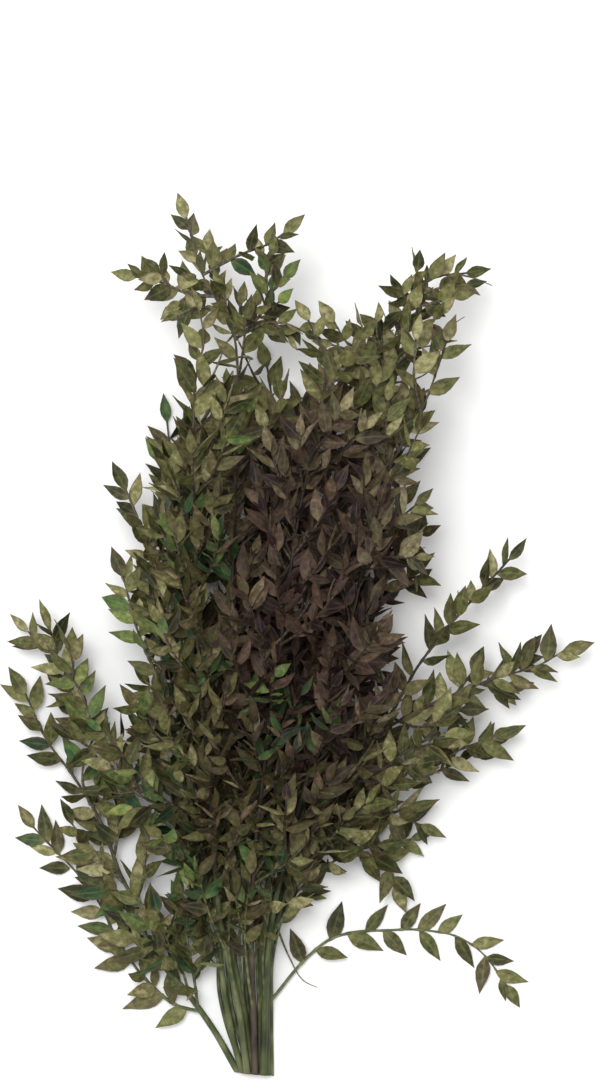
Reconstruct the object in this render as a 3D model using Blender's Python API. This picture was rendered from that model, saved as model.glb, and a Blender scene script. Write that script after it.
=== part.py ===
"""A gathered bunch of dried ruscus stems, lying on a flat surface.

The leafy stems are gathered at their cut ends and fan out towards their tips. Each one grew as a
single piece, with its side branches and its pointed blades, so each one is a closed solid.

The bunch is laid out in plan, as seen from above: X runs across it, Y from the cut ends to the
tips, and Z is the height above the surface. Lengths are in millimetres until a mesh is made.
"""

import math
import random

import bmesh
import bpy
import numpy as np
from mathutils import Matrix, Vector
from mathutils.bvhtree import BVHTree

MM = 0.001
UP = Vector((0, 0, 1))
ALONG_BUNCH = Vector((0, 1, 0))

# Stems and side branches
STEM_RADIUS = 2.4
STEM_TIP_RADIUS = 0.95
STEM_SIDES = 6
STEM_GAP = 0.35
ROW_COUNTS = (5, 4, 3)
BRANCH_RADIUS = 1.35
BRANCH_TIP_RADIUS = 0.9
BRANCH_SIDES = 3
CURVE_STEP = 4.0
CHORD_ERROR = 1.2

# Leaf blades: shares are of the blade's length or width, and angles are in degrees
LEAF_LENGTH = 24.0
LEAF_WIDTH = 10.6
LEAF_THICKNESS = 0.95
LEAF_ROOT_THICKNESS = 0.7
WIDEST_SHARE = 0.4
TAPER_SHARE = 0.75
TAPER_WIDTH = 0.6
MOST_CURL = 0.12
LEAF_SIZES = (0.86, 1.12)
SIZE_LOST_AT_TIP = 0.12
TIP_LEAF_SIZE = 0.78
LEAF_SLANT = 60.0
SLANT_LOST_AT_TIP = 16.0
SLANT_SPREAD = 9.0
TIP_LEAF_SLANT = 14.0

# Where leaves stand
LEAF_SPACING = 12.8
LEAFY_END_OF_STEM = 130.0
LEAF_CLEARANCE = 0.4
PRESSED_HEIGHT = 1.3
PRESSED_LIFT = 0.3
PRESSED_TRIES = 6
LEVEL_ENOUGH = 0.1
LOWEST_LOOSE_POINT = 0.3
LEAF_TRIES = 14
WANDER_PER_TRY = 0.25
SHRINK_PER_TRY = 0.97
OUTER_ROLL, STEM_ROLL, DENSE_ROLL = 22.0, 40.0, 60.0
TILT_PER_ROLL = 0.75

# The middle of the whole bunch in plan, which becomes the origin
PLAN_MIDDLE = (30.3, 299.4)

# Each stem: its row and place in the bundle of cut ends, then the points that it passes through
STEMS = {
    "stem_left_low": (0, 0, [
        (-21, 20, 3), (-37, 44, 6), (-52, 64, 10), (-66, 80, 14), (-75, 98, 17), (-81, 117, 18),
        (-88, 130, 17), (-96, 149, 15), (-102, 167, 13), (-112, 184, 11), (-123, 203, 10),
        (-137, 221, 9), (-150, 245, 9), (-156, 260, 10),
    ]),
    "stem_back_left": (0, 1, [
        (-9, 24, 2.1), (-15, 90, 8), (-30, 180, 16), (-43, 270, 18), (-50, 350, 13), (-57, 410, 6),
        (-60, 445, 3),
    ]),
    "stem_back_middle": (0, 2, [
        (-1, 24, 2.1), (-5, 90, 8), (3, 190, 17), (10, 290, 19), (14, 380, 13), (14, 430, 4),
        (12, 458, 0), (8, 482, 0),
    ]),
    "stem_back_right": (0, 3, [
        (5, 24, 2.1), (6, 90, 9), (38, 190, 16), (72, 285, 18), (91, 355, 14), (98, 412, 8),
        (101, 452, 5),
    ]),
    "stem_right_low": (0, 4, [
        (10.3, 24, 2.1), (10.3, 52, 4), (11.5, 82, 9), (18, 108, 13), (30, 132, 16),
        (52, 156, 18), (84, 188, 20), (105, 200, 18), (126, 208, 15), (142, 216, 12),
        (161, 225, 9),
    ]),
    "stem_left_middle": (1, 0, [
        (-14.5, 24, 9), (-21, 60, 15), (-24.5, 90, 20), (-27, 120, 28), (-34, 150, 38),
        (-50, 210, 52), (-61, 270, 60), (-67, 325, 62), (-72, 358, 60), (-80, 382, 56),
        (-87, 398, 52),
    ]),
    "stem_left_tall": (1, 1, [
        (-4.5, 24, 8), (-16, 90, 25), (-17, 200, 48), (-16, 300, 66), (-13, 400, 76), (-12, 455, 78),
        (-16, 507, 77), (-28, 527, 75), (-36, 545, 73), (-40, 560, 71), (-46, 581, 68),
    ]),
    "stem_right_tall": (1, 2, [
        (3, 24, 8), (4, 90, 23), (21, 200, 46), (43, 300, 60), (67, 380, 66), (82, 430, 67),
        (88, 472, 66), (95, 503, 64), (105, 526, 61), (118, 539, 57), (143, 544, 50),
    ]),
    "stem_right_middle": (1, 3, [
        (7.8, 24, 8), (10.5, 90, 22), (36, 160, 39), (70, 214, 48), (98, 257, 47), (114, 285, 44),
        (128, 302, 41), (149, 326, 37), (172, 351, 33),
    ]),
    "stem_front_left": (2, 0, [
        (-7.5, 24, 13.5), (-21, 90, 34), (-30, 200, 70), (-38, 300, 92), (-40, 400, 100),
        (-40, 459, 97), (-38, 484, 94), (-34, 500, 91), (-37, 518, 88),
    ]),
    "stem_front_middle": (2, 1, [
        (-0.5, 24, 13.5), (-3, 90, 35), (5, 200, 76), (18, 300, 101), (33, 400, 108), (45, 456, 105),
        (47, 484, 101), (41, 499, 97), (36, 511, 93),
    ]),
    "stem_front_right": (2, 2, [
        (6, 24, 13.5), (9, 90, 33), (34, 200, 68), (62, 300, 90), (78, 370, 96), (88, 408, 95),
        (103, 434, 92), (115, 458, 88), (123, 484, 82), (129, 498, 78),
    ]),
}

# Side branches that stand clear of the dense middle: the bare length at the root, then the points
OUTER_BRANCHES = {
    "stem_left_low": [
        (10, [(-37, 44, 6), (-49, 46, 5), (-61, 53, 4), (-73, 64, 3), (-83, 77, 2), (-93, 91, 0),
              (-100, 105, 0), (-105, 116, 0), (-116, 129, 0), (-129, 144, 0), (-141, 157, 0),
              (-151, 169, 0)]),
        (14, [(-38, 47, 7), (-41, 64, 16), (-44, 82, 22), (-48, 105, 26), (-51, 122, 28)]),
        (26, [(-44, 54, 8), (-50, 74, 20), (-59, 92, 29), (-66, 112, 33)]),
        (12, [(-96, 149, 15), (-92, 166, 21), (-84, 182, 27), (-80, 200, 31)]),
        (8, [(-112, 184, 11), (-117, 202, 20), (-114, 220, 26), (-108, 232, 28)]),
    ],
    "stem_left_middle": [
        (14, [(-34, 150, 38), (-50, 172, 44), (-72, 190, 43), (-92, 204, 40), (-104, 224, 36),
              (-111, 243, 32), (-118, 261, 28), (-130, 278, 24), (-145, 293, 20), (-154, 302, 18)]),
        (14, [(-60, 262, 59), (-74, 290, 62), (-83, 318, 58), (-89, 340, 53)]),
        (10, [(-23, 90, 20), (-32, 102, 30), (-38, 118, 42), (-42, 134, 50)]),
    ],
    "stem_left_tall": [
        (6, [(-28, 527, 75), (-44, 529, 72), (-60, 536, 69), (-72, 539, 66), (-80, 541, 64)]),
        (14, [(-15, 498, 77), (-4, 507, 79), (4, 515, 80), (8, 528, 80), (8, 542, 79), (5, 554, 77)]),
        (8, [(-35, 542, 73), (-20, 549, 77), (-6, 557, 79), (8, 562, 79), (20, 570, 77)]),
    ],
    "stem_right_tall": [
        (12, [(88, 468, 66), (80, 477, 67), (67, 490, 67), (59, 500, 66), (53, 511, 64)]),
        (8, [(95, 503, 64), (104, 505, 70), (116, 508, 74), (124, 516, 75)]),
        (8, [(88, 474, 66), (98, 486, 70), (108, 492, 73), (121, 495, 74)]),
    ],
    "stem_right_middle": [
        (20, [(85, 234, 47), (104, 245, 45), (121, 254, 42), (140, 262, 38), (158, 269, 34),
              (179, 276, 30), (198, 282, 27), (209, 289, 25)]),
        (12, [(60, 196, 46), (80, 206, 54), (98, 218, 58), (112, 228, 60), (128, 232, 58)]),
    ],
    "stem_right_low": [
        (34, [(11, 51, 4), (26, 68, 4), (40, 85, 3), (56, 95, 0), (78, 98, 0), (98, 99, 0),
              (122, 98, 0), (136, 95, 0), (150, 87, 0), (162, 74, 0), (171, 61, 0)]),
        (14, [(49, 150, 17), (68, 153, 18), (82, 149, 16), (92, 140, 12), (95, 130, 9)]),
        (12, [(70, 176, 20), (86, 178, 23), (102, 174, 22), (113, 171, 20)]),
        (12, [(112, 203, 17), (128, 215, 23), (147, 226, 27), (165, 231, 28)]),
        (12, [(62, 166, 18), (78, 160, 11), (92, 158, 8), (106, 161, 6)]),
    ],
    "stem_front_left": [
        (12, [(-39, 360, 98), (-47, 386, 96), (-56, 404, 91), (-62, 418, 86)]),
    ],
}

# Where the side branches of the dense middle leave each stem: the first and the last share of its
# length, and how many there are
DENSE_BRANCHES = {
    "stem_left_low": (0.60, 0.78, 1),
    "stem_back_left": (0.30, 0.94, 7),
    "stem_back_middle": (0.28, 0.95, 6),
    "stem_back_right": (0.30, 0.95, 6),
    "stem_right_low": (0.50, 0.72, 2),
    "stem_left_middle": (0.34, 0.88, 6),
    "stem_left_tall": (0.32, 0.80, 6),
    "stem_right_tall": (0.32, 0.82, 6),
    "stem_right_middle": (0.36, 0.58, 2),
    "stem_front_left": (0.28, 0.88, 6),
    "stem_front_middle": (0.26, 0.90, 7),
    "stem_front_right": (0.30, 0.90, 6),
}
DENSE_LENGTH = 72.0
DENSE_LENGTHS = (0.75, 1.1)
LENGTH_LOST_AT_TIP = 0.3
DENSE_BARE = 16.0
DENSE_SLANTS = (34.0, 52.0)
BEND_STEPS = 4
BEND_BACK = 0.6
BRANCH_TRIES = 24
TURN_SPREAD = 5.0
BRANCH_CLEARANCE = 1.2
CROTCH_LENGTH = 8.0

# The dense middle in plan: distance from the cut ends, then its left and right edge
BODY_OUTLINE = (
    (100, -34, 22), (125, -46, 34), (160, -64, 66), (200, -82, 90), (240, -84, 94),
    (290, -74, 90), (350, -76, 100), (390, -68, 88), (440, -54, 112), (460, -30, 108),
    (520, -30, 108), (600, -60, 120),
)
# Its lowest point, and its height above the surface for a distance from the cut ends
BODY_BOTTOM = 2.0
BODY_TOP = ((100, 52), (200, 104), (300, 130), (420, 134), (500, 118), (600, 96))

# Colours of the dried foliage: olive where light reached it, and brown inside the bunch
OLIVE = (0.125, 0.122, 0.062)
BROWN_OLIVE = (0.068, 0.056, 0.034)
OLIVE_STEMS = ("stem_left_low", "stem_right_low", "stem_right_middle", "stem_left_tall")
FOLIAGE_ROUGHNESS = 0.6


def curve_through(points, step):
    """Points about `step` apart on a smooth curve through `points`."""
    chords = [b - a for a, b in zip(points, points[1:])]
    headings = [chord.normalized() for chord in chords]
    tangents = [headings[0]]
    for first, second, before, after in zip(chords, chords[1:], headings, headings[1:]):
        tangents.append(before.lerp(after, first.length / (first.length + second.length)))
    tangents.append(headings[-1])
    curve = [points[0]]
    for i, chord in enumerate(chords):
        length = chord.length
        count = max(1, round(length / step))
        for k in range(1, count + 1):
            t = k / count
            curve.append(
                points[i] * (2 * t**3 - 3 * t**2 + 1)
                + points[i + 1] * (3 * t**2 - 2 * t**3)
                + tangents[i] * length * (t**3 - 2 * t**2 + t)
                + tangents[i + 1] * length * (t**3 - t**2)
            )
    return curve


def nearest_on(start, end, point):
    """The spot between `start` and `end` that lies nearest to `point`."""
    along = end - start
    share = (point - start).dot(along) / along.length_squared
    return start + along * max(0.0, min(1.0, share))


def fewer_points(points, error):
    """The points that a line through them needs, so that it strays no further than `error`."""
    if len(points) < 3:
        return points
    start, end = points[0], points[-1]
    strays = [(point - nearest_on(start, end, point)).length for point in points[1:-1]]
    worst = max(range(len(strays)), key=strays.__getitem__)
    if strays[worst] <= error:
        return [start, end]
    middle = worst + 1
    first = fewer_points(points[: middle + 1], error)
    return first[:-1] + fewer_points(points[middle:], error)


def level_frame(heading):
    """Two directions square to a heading that isn't upright, the first one level."""
    across = heading.cross(UP).normalized()
    return across, across.cross(heading).normalized()


class Axis:
    """The line that a stem or a side branch follows, with its radius at each point.

    `cut` is the way that its first end faces, where that isn't along the line.
    """

    def __init__(self, name, points, root_radius, tip_radius, sides, cut=None):
        self.name = name
        self.sides = sides
        self.cut = cut
        self.points = fewer_points(curve_through(points, CURVE_STEP), CHORD_ERROR)
        self.distances = [0.0]
        for a, b in zip(self.points, self.points[1:]):
            self.distances.append(self.distances[-1] + (b - a).length)
        self.length = self.distances[-1]
        taper = (tip_radius - root_radius) / self.length
        self.radii = [root_radius + taper * distance for distance in self.distances]
        flat = math.cos(math.pi / sides)
        for point, radius in zip(self.points, self.radii):
            point.z = max(point.z, radius * flat)

    def place(self, distance):
        """Point, heading and radius at a distance from the root."""
        i = 0
        while i < len(self.points) - 2 and self.distances[i + 1] < distance:
            i += 1
        share = (distance - self.distances[i]) / (self.distances[i + 1] - self.distances[i])
        point = self.points[i].lerp(self.points[i + 1], share)
        heading = (self.points[i + 1] - self.points[i]).normalized()
        return point, heading, self.radii[i] + (self.radii[i + 1] - self.radii[i]) * share

    def nearest(self, point):
        """The spot on the line that lies nearest to `point`."""
        spots = [nearest_on(a, b, point) for a, b in zip(self.points, self.points[1:])]
        return min(spots, key=lambda spot: (spot - point).length)

    def headings(self):
        """The heading at each point, halfway between its two stretches."""
        stretches = [(b - a).normalized() for a, b in zip(self.points, self.points[1:])]
        middles = [(a + b).normalized() for a, b in zip(stretches, stretches[1:])]
        return [self.cut or stretches[0], *middles, stretches[-1]]

    def samples(self, start=0.0, step=2.5):
        """Points and radii every few millimetres."""
        count = max(2, int((self.length - start) / step))
        places = [self.place(start + (self.length - start) * k / count) for k in range(count + 1)]
        return np.array([point for point, _, _ in places]), np.array([r for _, _, r in places])

    def shape(self):
        """Corners and faces of a closed tube round the line, with a flat side facing down."""
        corners, faces = [], []
        for point, radius, heading in zip(self.points, self.radii, self.headings()):
            across, rise = level_frame(heading)
            for k in range(self.sides):
                turn = (2 * k + 1) * math.pi / self.sides - math.pi / 2
                corners.append(point + radius * (math.cos(turn) * across + math.sin(turn) * rise))
        for ring in range(len(self.points) - 1):
            for k in range(self.sides):
                a, b = ring * self.sides + k, ring * self.sides + (k + 1) % self.sides
                faces.append((a, a + self.sides, b + self.sides, b))
        faces.append(tuple(range(self.sides)))
        faces.append(tuple(reversed(range(len(corners) - self.sides, len(corners)))))
        return corners, faces


def leaf_shape(root, along, normal, length, width, curl, pressed, extra=0.0):
    """Corners and faces of a pointed blade with a ridge on its midrib. `extra` fattens it.

    Its root is an upright edge, sunk in the branch. A pressed blade lies flat on the surface.
    """
    across = along.cross(normal)
    base = root if pressed else root - normal * (LEAF_ROOT_THICKNESS / 2)
    lift = PRESSED_LIFT if pressed else 0.0
    half = width / 2

    def spot(share, side, height):
        bend = normal * (curl * length * share**2)
        return base + along * (share * length) + bend + across * side + normal * height

    corners = [
        spot(0, 0, lift - extra),
        spot(0, 0, lift + LEAF_ROOT_THICKNESS + extra),
        spot(WIDEST_SHARE, -half - extra, -extra),
        spot(WIDEST_SHARE, 0, LEAF_THICKNESS + extra),
        spot(WIDEST_SHARE, half + extra, -extra),
        spot(TAPER_SHARE, -half * TAPER_WIDTH - extra, -extra),
        spot(TAPER_SHARE, half * TAPER_WIDTH + extra, -extra),
        spot(1 + extra / length, 0, 0),
    ]
    faces = [
        (0, 2, 4), (0, 1, 2), (1, 3, 2), (0, 4, 1), (1, 4, 3),
        (2, 5, 4), (4, 5, 6), (2, 3, 5), (3, 7, 5), (3, 4, 6), (3, 6, 7), (5, 7, 6),
    ]
    return corners, faces


def box_of(corners):
    points = np.array(corners)
    return points.min(0), points.max(0)


class Crowd:
    """What is in place already, so that the next branch or leaf can keep clear of it."""

    def __init__(self):
        self.line_points = np.empty((0, 3))
        self.line_radii = np.empty(0)
        self.tubes = []
        self.leaf_middles = []
        self.leaf_trees = []

    def add_axis(self, axis):
        points, radii = axis.samples()
        self.line_points = np.vstack([self.line_points, points])
        self.line_radii = np.concatenate([self.line_radii, radii])
        corners, faces = axis.shape()
        low, high = box_of(corners)
        self.tubes.append((axis.name, low, high, BVHTree.FromPolygons(corners, faces)))

    def room_round(self, axis, start):
        """The least room round an axis beyond `start`, and the mean room round its outer half."""
        points, radii = axis.samples(start)
        between = points[:, None, :] - self.line_points[None, :, :]
        room = np.sqrt((between**2).sum(2)) - radii[:, None] - self.line_radii[None, :]
        return room.min(), room[len(room) // 2 :].min(1).mean()

    def leaf_is_clear(self, shape, own_axis):
        """True if a fattened leaf meets no leaf, and no tube but its own."""
        corners, faces = shape
        tree = BVHTree.FromPolygons(corners, faces)
        low, high = box_of(corners)
        for name, tube_low, tube_high, tube in self.tubes:
            if name == own_axis or (tube_low > high).any() or (tube_high < low).any():
                continue
            if tube.overlap(tree):
                return False
        if self.leaf_trees:
            gaps = np.linalg.norm(np.array(self.leaf_middles) - (low + high) / 2, axis=1)
            for i in np.flatnonzero(gaps < 1.5 * LEAF_LENGTH):
                if self.leaf_trees[i].overlap(tree):
                    return False
        return True

    def add_leaf(self, shape):
        corners, faces = shape
        low, high = box_of(corners)
        self.leaf_middles.append((low + high) / 2)
        self.leaf_trees.append(BVHTree.FromPolygons(corners, faces))


def cut_end(row, place):
    """Centre of a stem's cut end, where each row lies in the hollows of the row below."""
    pitch = 2 * STEM_RADIUS + STEM_GAP
    across = (place - (ROW_COUNTS[row] - 1) / 2) * pitch
    lowest = STEM_RADIUS * math.cos(math.pi / STEM_SIDES)
    return Vector((across, 0, lowest + row * pitch * math.sin(math.radians(60))))


def stem_axis(name):
    row, place, route = STEMS[name]
    points = [cut_end(row, place), *(Vector(point) for point in route)]
    return Axis(name, points, STEM_RADIUS, STEM_TIP_RADIUS, STEM_SIDES, cut=ALONG_BUNCH)


def branch_axis(name, points):
    return Axis(name, points, BRANCH_RADIUS, BRANCH_TIP_RADIUS, BRANCH_SIDES)


def outer_branches(name, stem):
    """The bare length and the axis of each side branch whose route is given."""
    grown = []
    for number, (bare, route) in enumerate(OUTER_BRANCHES.get(name, [])):
        points = [Vector(point) for point in route]
        points[0] = stem.nearest(points[0])
        grown.append((bare, branch_axis(f"{name}_outer_{number}", points)))
    return grown


def from_table(table, distance, column):
    """A value of one of the tables above, between its rows."""
    return float(np.interp(distance, [row[0] for row in table], [row[column] for row in table]))


def inside_body(point):
    left, right = (from_table(BODY_OUTLINE, point.y, column) for column in (1, 2))
    return left < point.x < right and BODY_BOTTOM < point.z < from_table(BODY_TOP, point.y, 1)


def slanting_branch(name, stem, distance, turn, slant, length):
    """A side branch that leaves its stem at a slant and bends back towards the stem's heading."""
    root, heading, _ = stem.place(distance)
    across, rise = level_frame(heading)
    outward = across * math.cos(turn) + rise * math.sin(turn)
    points = [root]
    for k in range(BEND_STEPS):
        lean = slant * (1.0 - BEND_BACK * k / BEND_STEPS)
        stretch = heading * math.cos(lean) + outward * math.sin(lean)
        points.append(points[-1] + stretch * (length / BEND_STEPS))
    return branch_axis(name, points)


def dense_branches(name, stem, crowd):
    """Side branches at even steps along a stem, each one turned to where it has most room."""
    first, last, count = DENSE_BRANCHES[name]
    grown = []
    for k in range(count):
        share = first + (last - first) * k / max(1, count - 1)
        branch_name = f"{name}_dense_{k}"
        chance = random.Random(branch_name)
        best_room, best = 0.0, None
        for attempt in range(BRANCH_TRIES):
            turn = math.radians(360 * attempt / BRANCH_TRIES + chance.uniform(-1, 1) * TURN_SPREAD)
            slant = math.radians(chance.uniform(*DENSE_SLANTS))
            length = DENSE_LENGTH * (1.0 - LENGTH_LOST_AT_TIP * share)
            length *= chance.uniform(*DENSE_LENGTHS)
            branch = slanting_branch(branch_name, stem, share * stem.length, turn, slant, length)
            middle = branch.place(branch.length / 2)[0]
            if not (inside_body(branch.points[-1]) and inside_body(middle)):
                continue
            least, outer = crowd.room_round(branch, CROTCH_LENGTH)
            if least > BRANCH_CLEARANCE and outer > best_room:
                best_room, best = outer, branch
        if best:
            grown.append((DENSE_BARE, best))
            crowd.add_axis(best)
    return grown


def leaf_try(axis, distance, number, terminal, roll_spread, chance, attempt):
    """One way for a leaf to stand on its branch, as the values that leaf_shape takes."""
    root, heading, radius = axis.place(distance)
    across, rise = level_frame(heading)
    wander = 1.0 + WANDER_PER_TRY * attempt
    side = 1 if number % 2 else -1
    roll = math.radians(chance.gauss(0, roll_spread) * wander)
    outward = side * across * math.cos(roll) + rise * math.sin(roll)
    share = distance / axis.length
    slant = LEAF_SLANT - SLANT_LOST_AT_TIP * share + chance.uniform(-1, 1) * SLANT_SPREAD * wander
    if terminal:
        slant = chance.random() * TIP_LEAF_SLANT * wander
    along = heading * math.cos(math.radians(slant)) + outward * math.sin(math.radians(slant))
    tilt = math.radians(chance.gauss(0, TILT_PER_ROLL * roll_spread) * wander)
    size = TIP_LEAF_SIZE if terminal else 1.0 - SIZE_LOST_AT_TIP * share
    size *= chance.uniform(*LEAF_SIZES) * SHRINK_PER_TRY**attempt
    curl = chance.random() * MOST_CURL
    level = abs(heading.z) < LEVEL_ENOUGH
    pressed = level and root.z < PRESSED_HEIGHT and attempt < PRESSED_TRIES
    if pressed:
        curl = 0.0
        along = Vector((along.x, along.y, 0.0)).normalized()
        root = Vector((root.x, root.y, 0.0))
        normal = UP.copy()
    else:
        normal = (rise - rise.dot(along) * along).normalized()
        normal = Matrix.Rotation(tilt, 3, along) @ normal
    return root, along, normal, size * LEAF_LENGTH + radius, size * LEAF_WIDTH, curl, pressed


def leaves_along(axis, bare, roll_spread, crowd):
    """Leaves on alternate sides of an axis, and one at its tip, each clear of its neighbours."""
    count = max(2, round((axis.length - bare) / LEAF_SPACING))
    leaves = []
    for number in range(count + 1):
        terminal = number == count
        distance = bare + (axis.length - bare) * number / count
        if terminal:
            distance = axis.length - LEAF_ROOT_THICKNESS
        chance = random.Random(f"{axis.name}_leaf_{number}")
        for attempt in range(LEAF_TRIES):
            way = leaf_try(axis, distance, number, terminal, roll_spread, chance, attempt)
            shape = leaf_shape(*way)
            pressed = way[-1]
            lowest = min(corner.z for corner in shape[0])
            if lowest < LOWEST_LOOSE_POINT and not pressed:
                continue
            if crowd.leaf_is_clear(leaf_shape(*way, extra=LEAF_CLEARANCE), axis.name):
                crowd.add_leaf(shape)
                leaves.append(shape)
                break
    return leaves


def mesh_object(name, shape, collection):
    """An object from corners in millimetres of the plan, placed about the bunch's own origin."""
    corners, faces = shape
    mesh = bpy.data.meshes.new(name)
    shaped = bmesh.new()
    middle = Vector((*PLAN_MIDDLE, 0.0))
    points = [shaped.verts.new((corner - middle) * MM) for corner in corners]
    for face in faces:
        shaped.faces.new([points[i] for i in face])
    shaped.to_mesh(mesh)
    shaped.free()
    obj = bpy.data.objects.new(name, mesh)
    collection.objects.link(obj)
    return obj


def foliage_material(name):
    material = bpy.data.materials.new(f"{name}_foliage")
    material.use_nodes = True
    colour = OLIVE if name in OLIVE_STEMS else BROWN_OLIVE
    shader = material.node_tree.nodes["Principled BSDF"]
    shader.inputs["Base Color"].default_value = (*colour, 1.0)
    shader.inputs["Roughness"].default_value = FOLIAGE_ROUGHNESS
    shader.inputs["Metallic"].default_value = 0.0
    return material


def fuse(name, stem, pieces):
    """One solid: the stem joined with the branches and leaves whose roots are sunk in it."""
    body = mesh_object(name, stem.shape(), bpy.context.scene.collection)
    parts = bpy.data.collections.new(f"{name}_parts")
    bpy.context.scene.collection.children.link(parts)
    for number, shape in enumerate(pieces):
        mesh_object(f"{name}_part_{number}", shape, parts)
    union = body.modifiers.new("union", "BOOLEAN")
    union.operation = "UNION"
    union.operand_type = "COLLECTION"
    union.collection = parts
    union.solver = "EXACT"
    bpy.context.view_layer.objects.active = body
    bpy.ops.object.modifier_apply(modifier=union.name)
    for obj in list(parts.objects):
        mesh = obj.data
        bpy.data.objects.remove(obj)
        bpy.data.meshes.remove(mesh)
    bpy.data.collections.remove(parts)
    body.data.materials.clear()
    body.data.materials.append(foliage_material(name))
    return body


def build():
    for obj in list(bpy.data.objects):
        bpy.data.objects.remove(obj)
    crowd = Crowd()
    stems = {name: stem_axis(name) for name in STEMS}
    branches = {name: outer_branches(name, stem) for name, stem in stems.items()}
    for name, stem in stems.items():
        for axis in [stem, *(axis for _, axis in branches[name])]:
            crowd.add_axis(axis)
    leaves = {name: [] for name in STEMS}
    for name in STEMS:
        for bare, axis in branches[name]:
            leaves[name] += leaves_along(axis, bare, OUTER_ROLL, crowd)
    for name, stem in stems.items():
        bare = stem.length - LEAFY_END_OF_STEM
        leaves[name] += leaves_along(stem, bare, STEM_ROLL, crowd)
    for name, stem in stems.items():
        dense = dense_branches(name, stem, crowd)
        branches[name] += dense
        for bare, axis in dense:
            leaves[name] += leaves_along(axis, bare, DENSE_ROLL, crowd)
    for name, stem in stems.items():
        tubes = [axis.shape() for _, axis in branches[name]]
        body = fuse(name, stem, tubes + leaves[name])
        triangles = sum(len(face.vertices) - 2 for face in body.data.polygons)
        print(name, len(tubes), "branches,", len(leaves[name]), "leaves,", triangles, "triangles")


build()
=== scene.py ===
# %% [markdown]
# # A gathered bunch of dried ruscus, lying down
#
# Butcher's broom is cut in leafy stems, dried, and gathered at the cut ends. Each stem grew as one
# piece: ribbed bark, thin side twigs, and stiff pointed blades. The twelve stems are packed as
# plain solids. This lesson loads them as a fixed frame, grows the same plant again from the same
# routes, adds the finer twigs and blades, and gives each surface its dried finish.

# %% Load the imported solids
import math
import random

import bmesh
import bpy
import numpy as np
from mathutils import Matrix, Vector
from mathutils.bvhtree import BVHTree


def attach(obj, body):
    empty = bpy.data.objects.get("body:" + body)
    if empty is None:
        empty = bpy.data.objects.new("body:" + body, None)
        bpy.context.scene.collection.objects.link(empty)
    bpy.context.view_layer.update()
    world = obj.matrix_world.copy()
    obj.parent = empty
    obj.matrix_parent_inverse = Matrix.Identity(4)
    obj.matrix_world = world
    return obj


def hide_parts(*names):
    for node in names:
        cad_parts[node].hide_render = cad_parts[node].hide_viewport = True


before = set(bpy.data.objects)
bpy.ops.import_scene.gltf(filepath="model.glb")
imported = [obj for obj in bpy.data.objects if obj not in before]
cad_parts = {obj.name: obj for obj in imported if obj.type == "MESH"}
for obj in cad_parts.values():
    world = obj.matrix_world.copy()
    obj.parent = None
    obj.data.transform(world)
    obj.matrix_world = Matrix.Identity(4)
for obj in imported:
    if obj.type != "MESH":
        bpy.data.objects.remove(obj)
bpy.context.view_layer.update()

# %% [markdown]
# ## The plan of the bunch
#
# A bunch could be grown by chance alone, but then its outline would be anyone's bunch. Here each
# stem and each side branch that stands clear follows a route of a few points, seen from above:
# X across the bunch, Y from the cut ends to the tips, Z up from the surface, in millimetres. The
# solids follow the same routes, so the finer plant lands in their place.

# %% Routes of the stems
MM = 0.001
UP = Vector((0, 0, 1))
ALONG_BUNCH = Vector((0, 1, 0))
# The middle of the whole bunch in plan, which is the origin of the solids
PLAN_MIDDLE = (30.3, 299.4)

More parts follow.
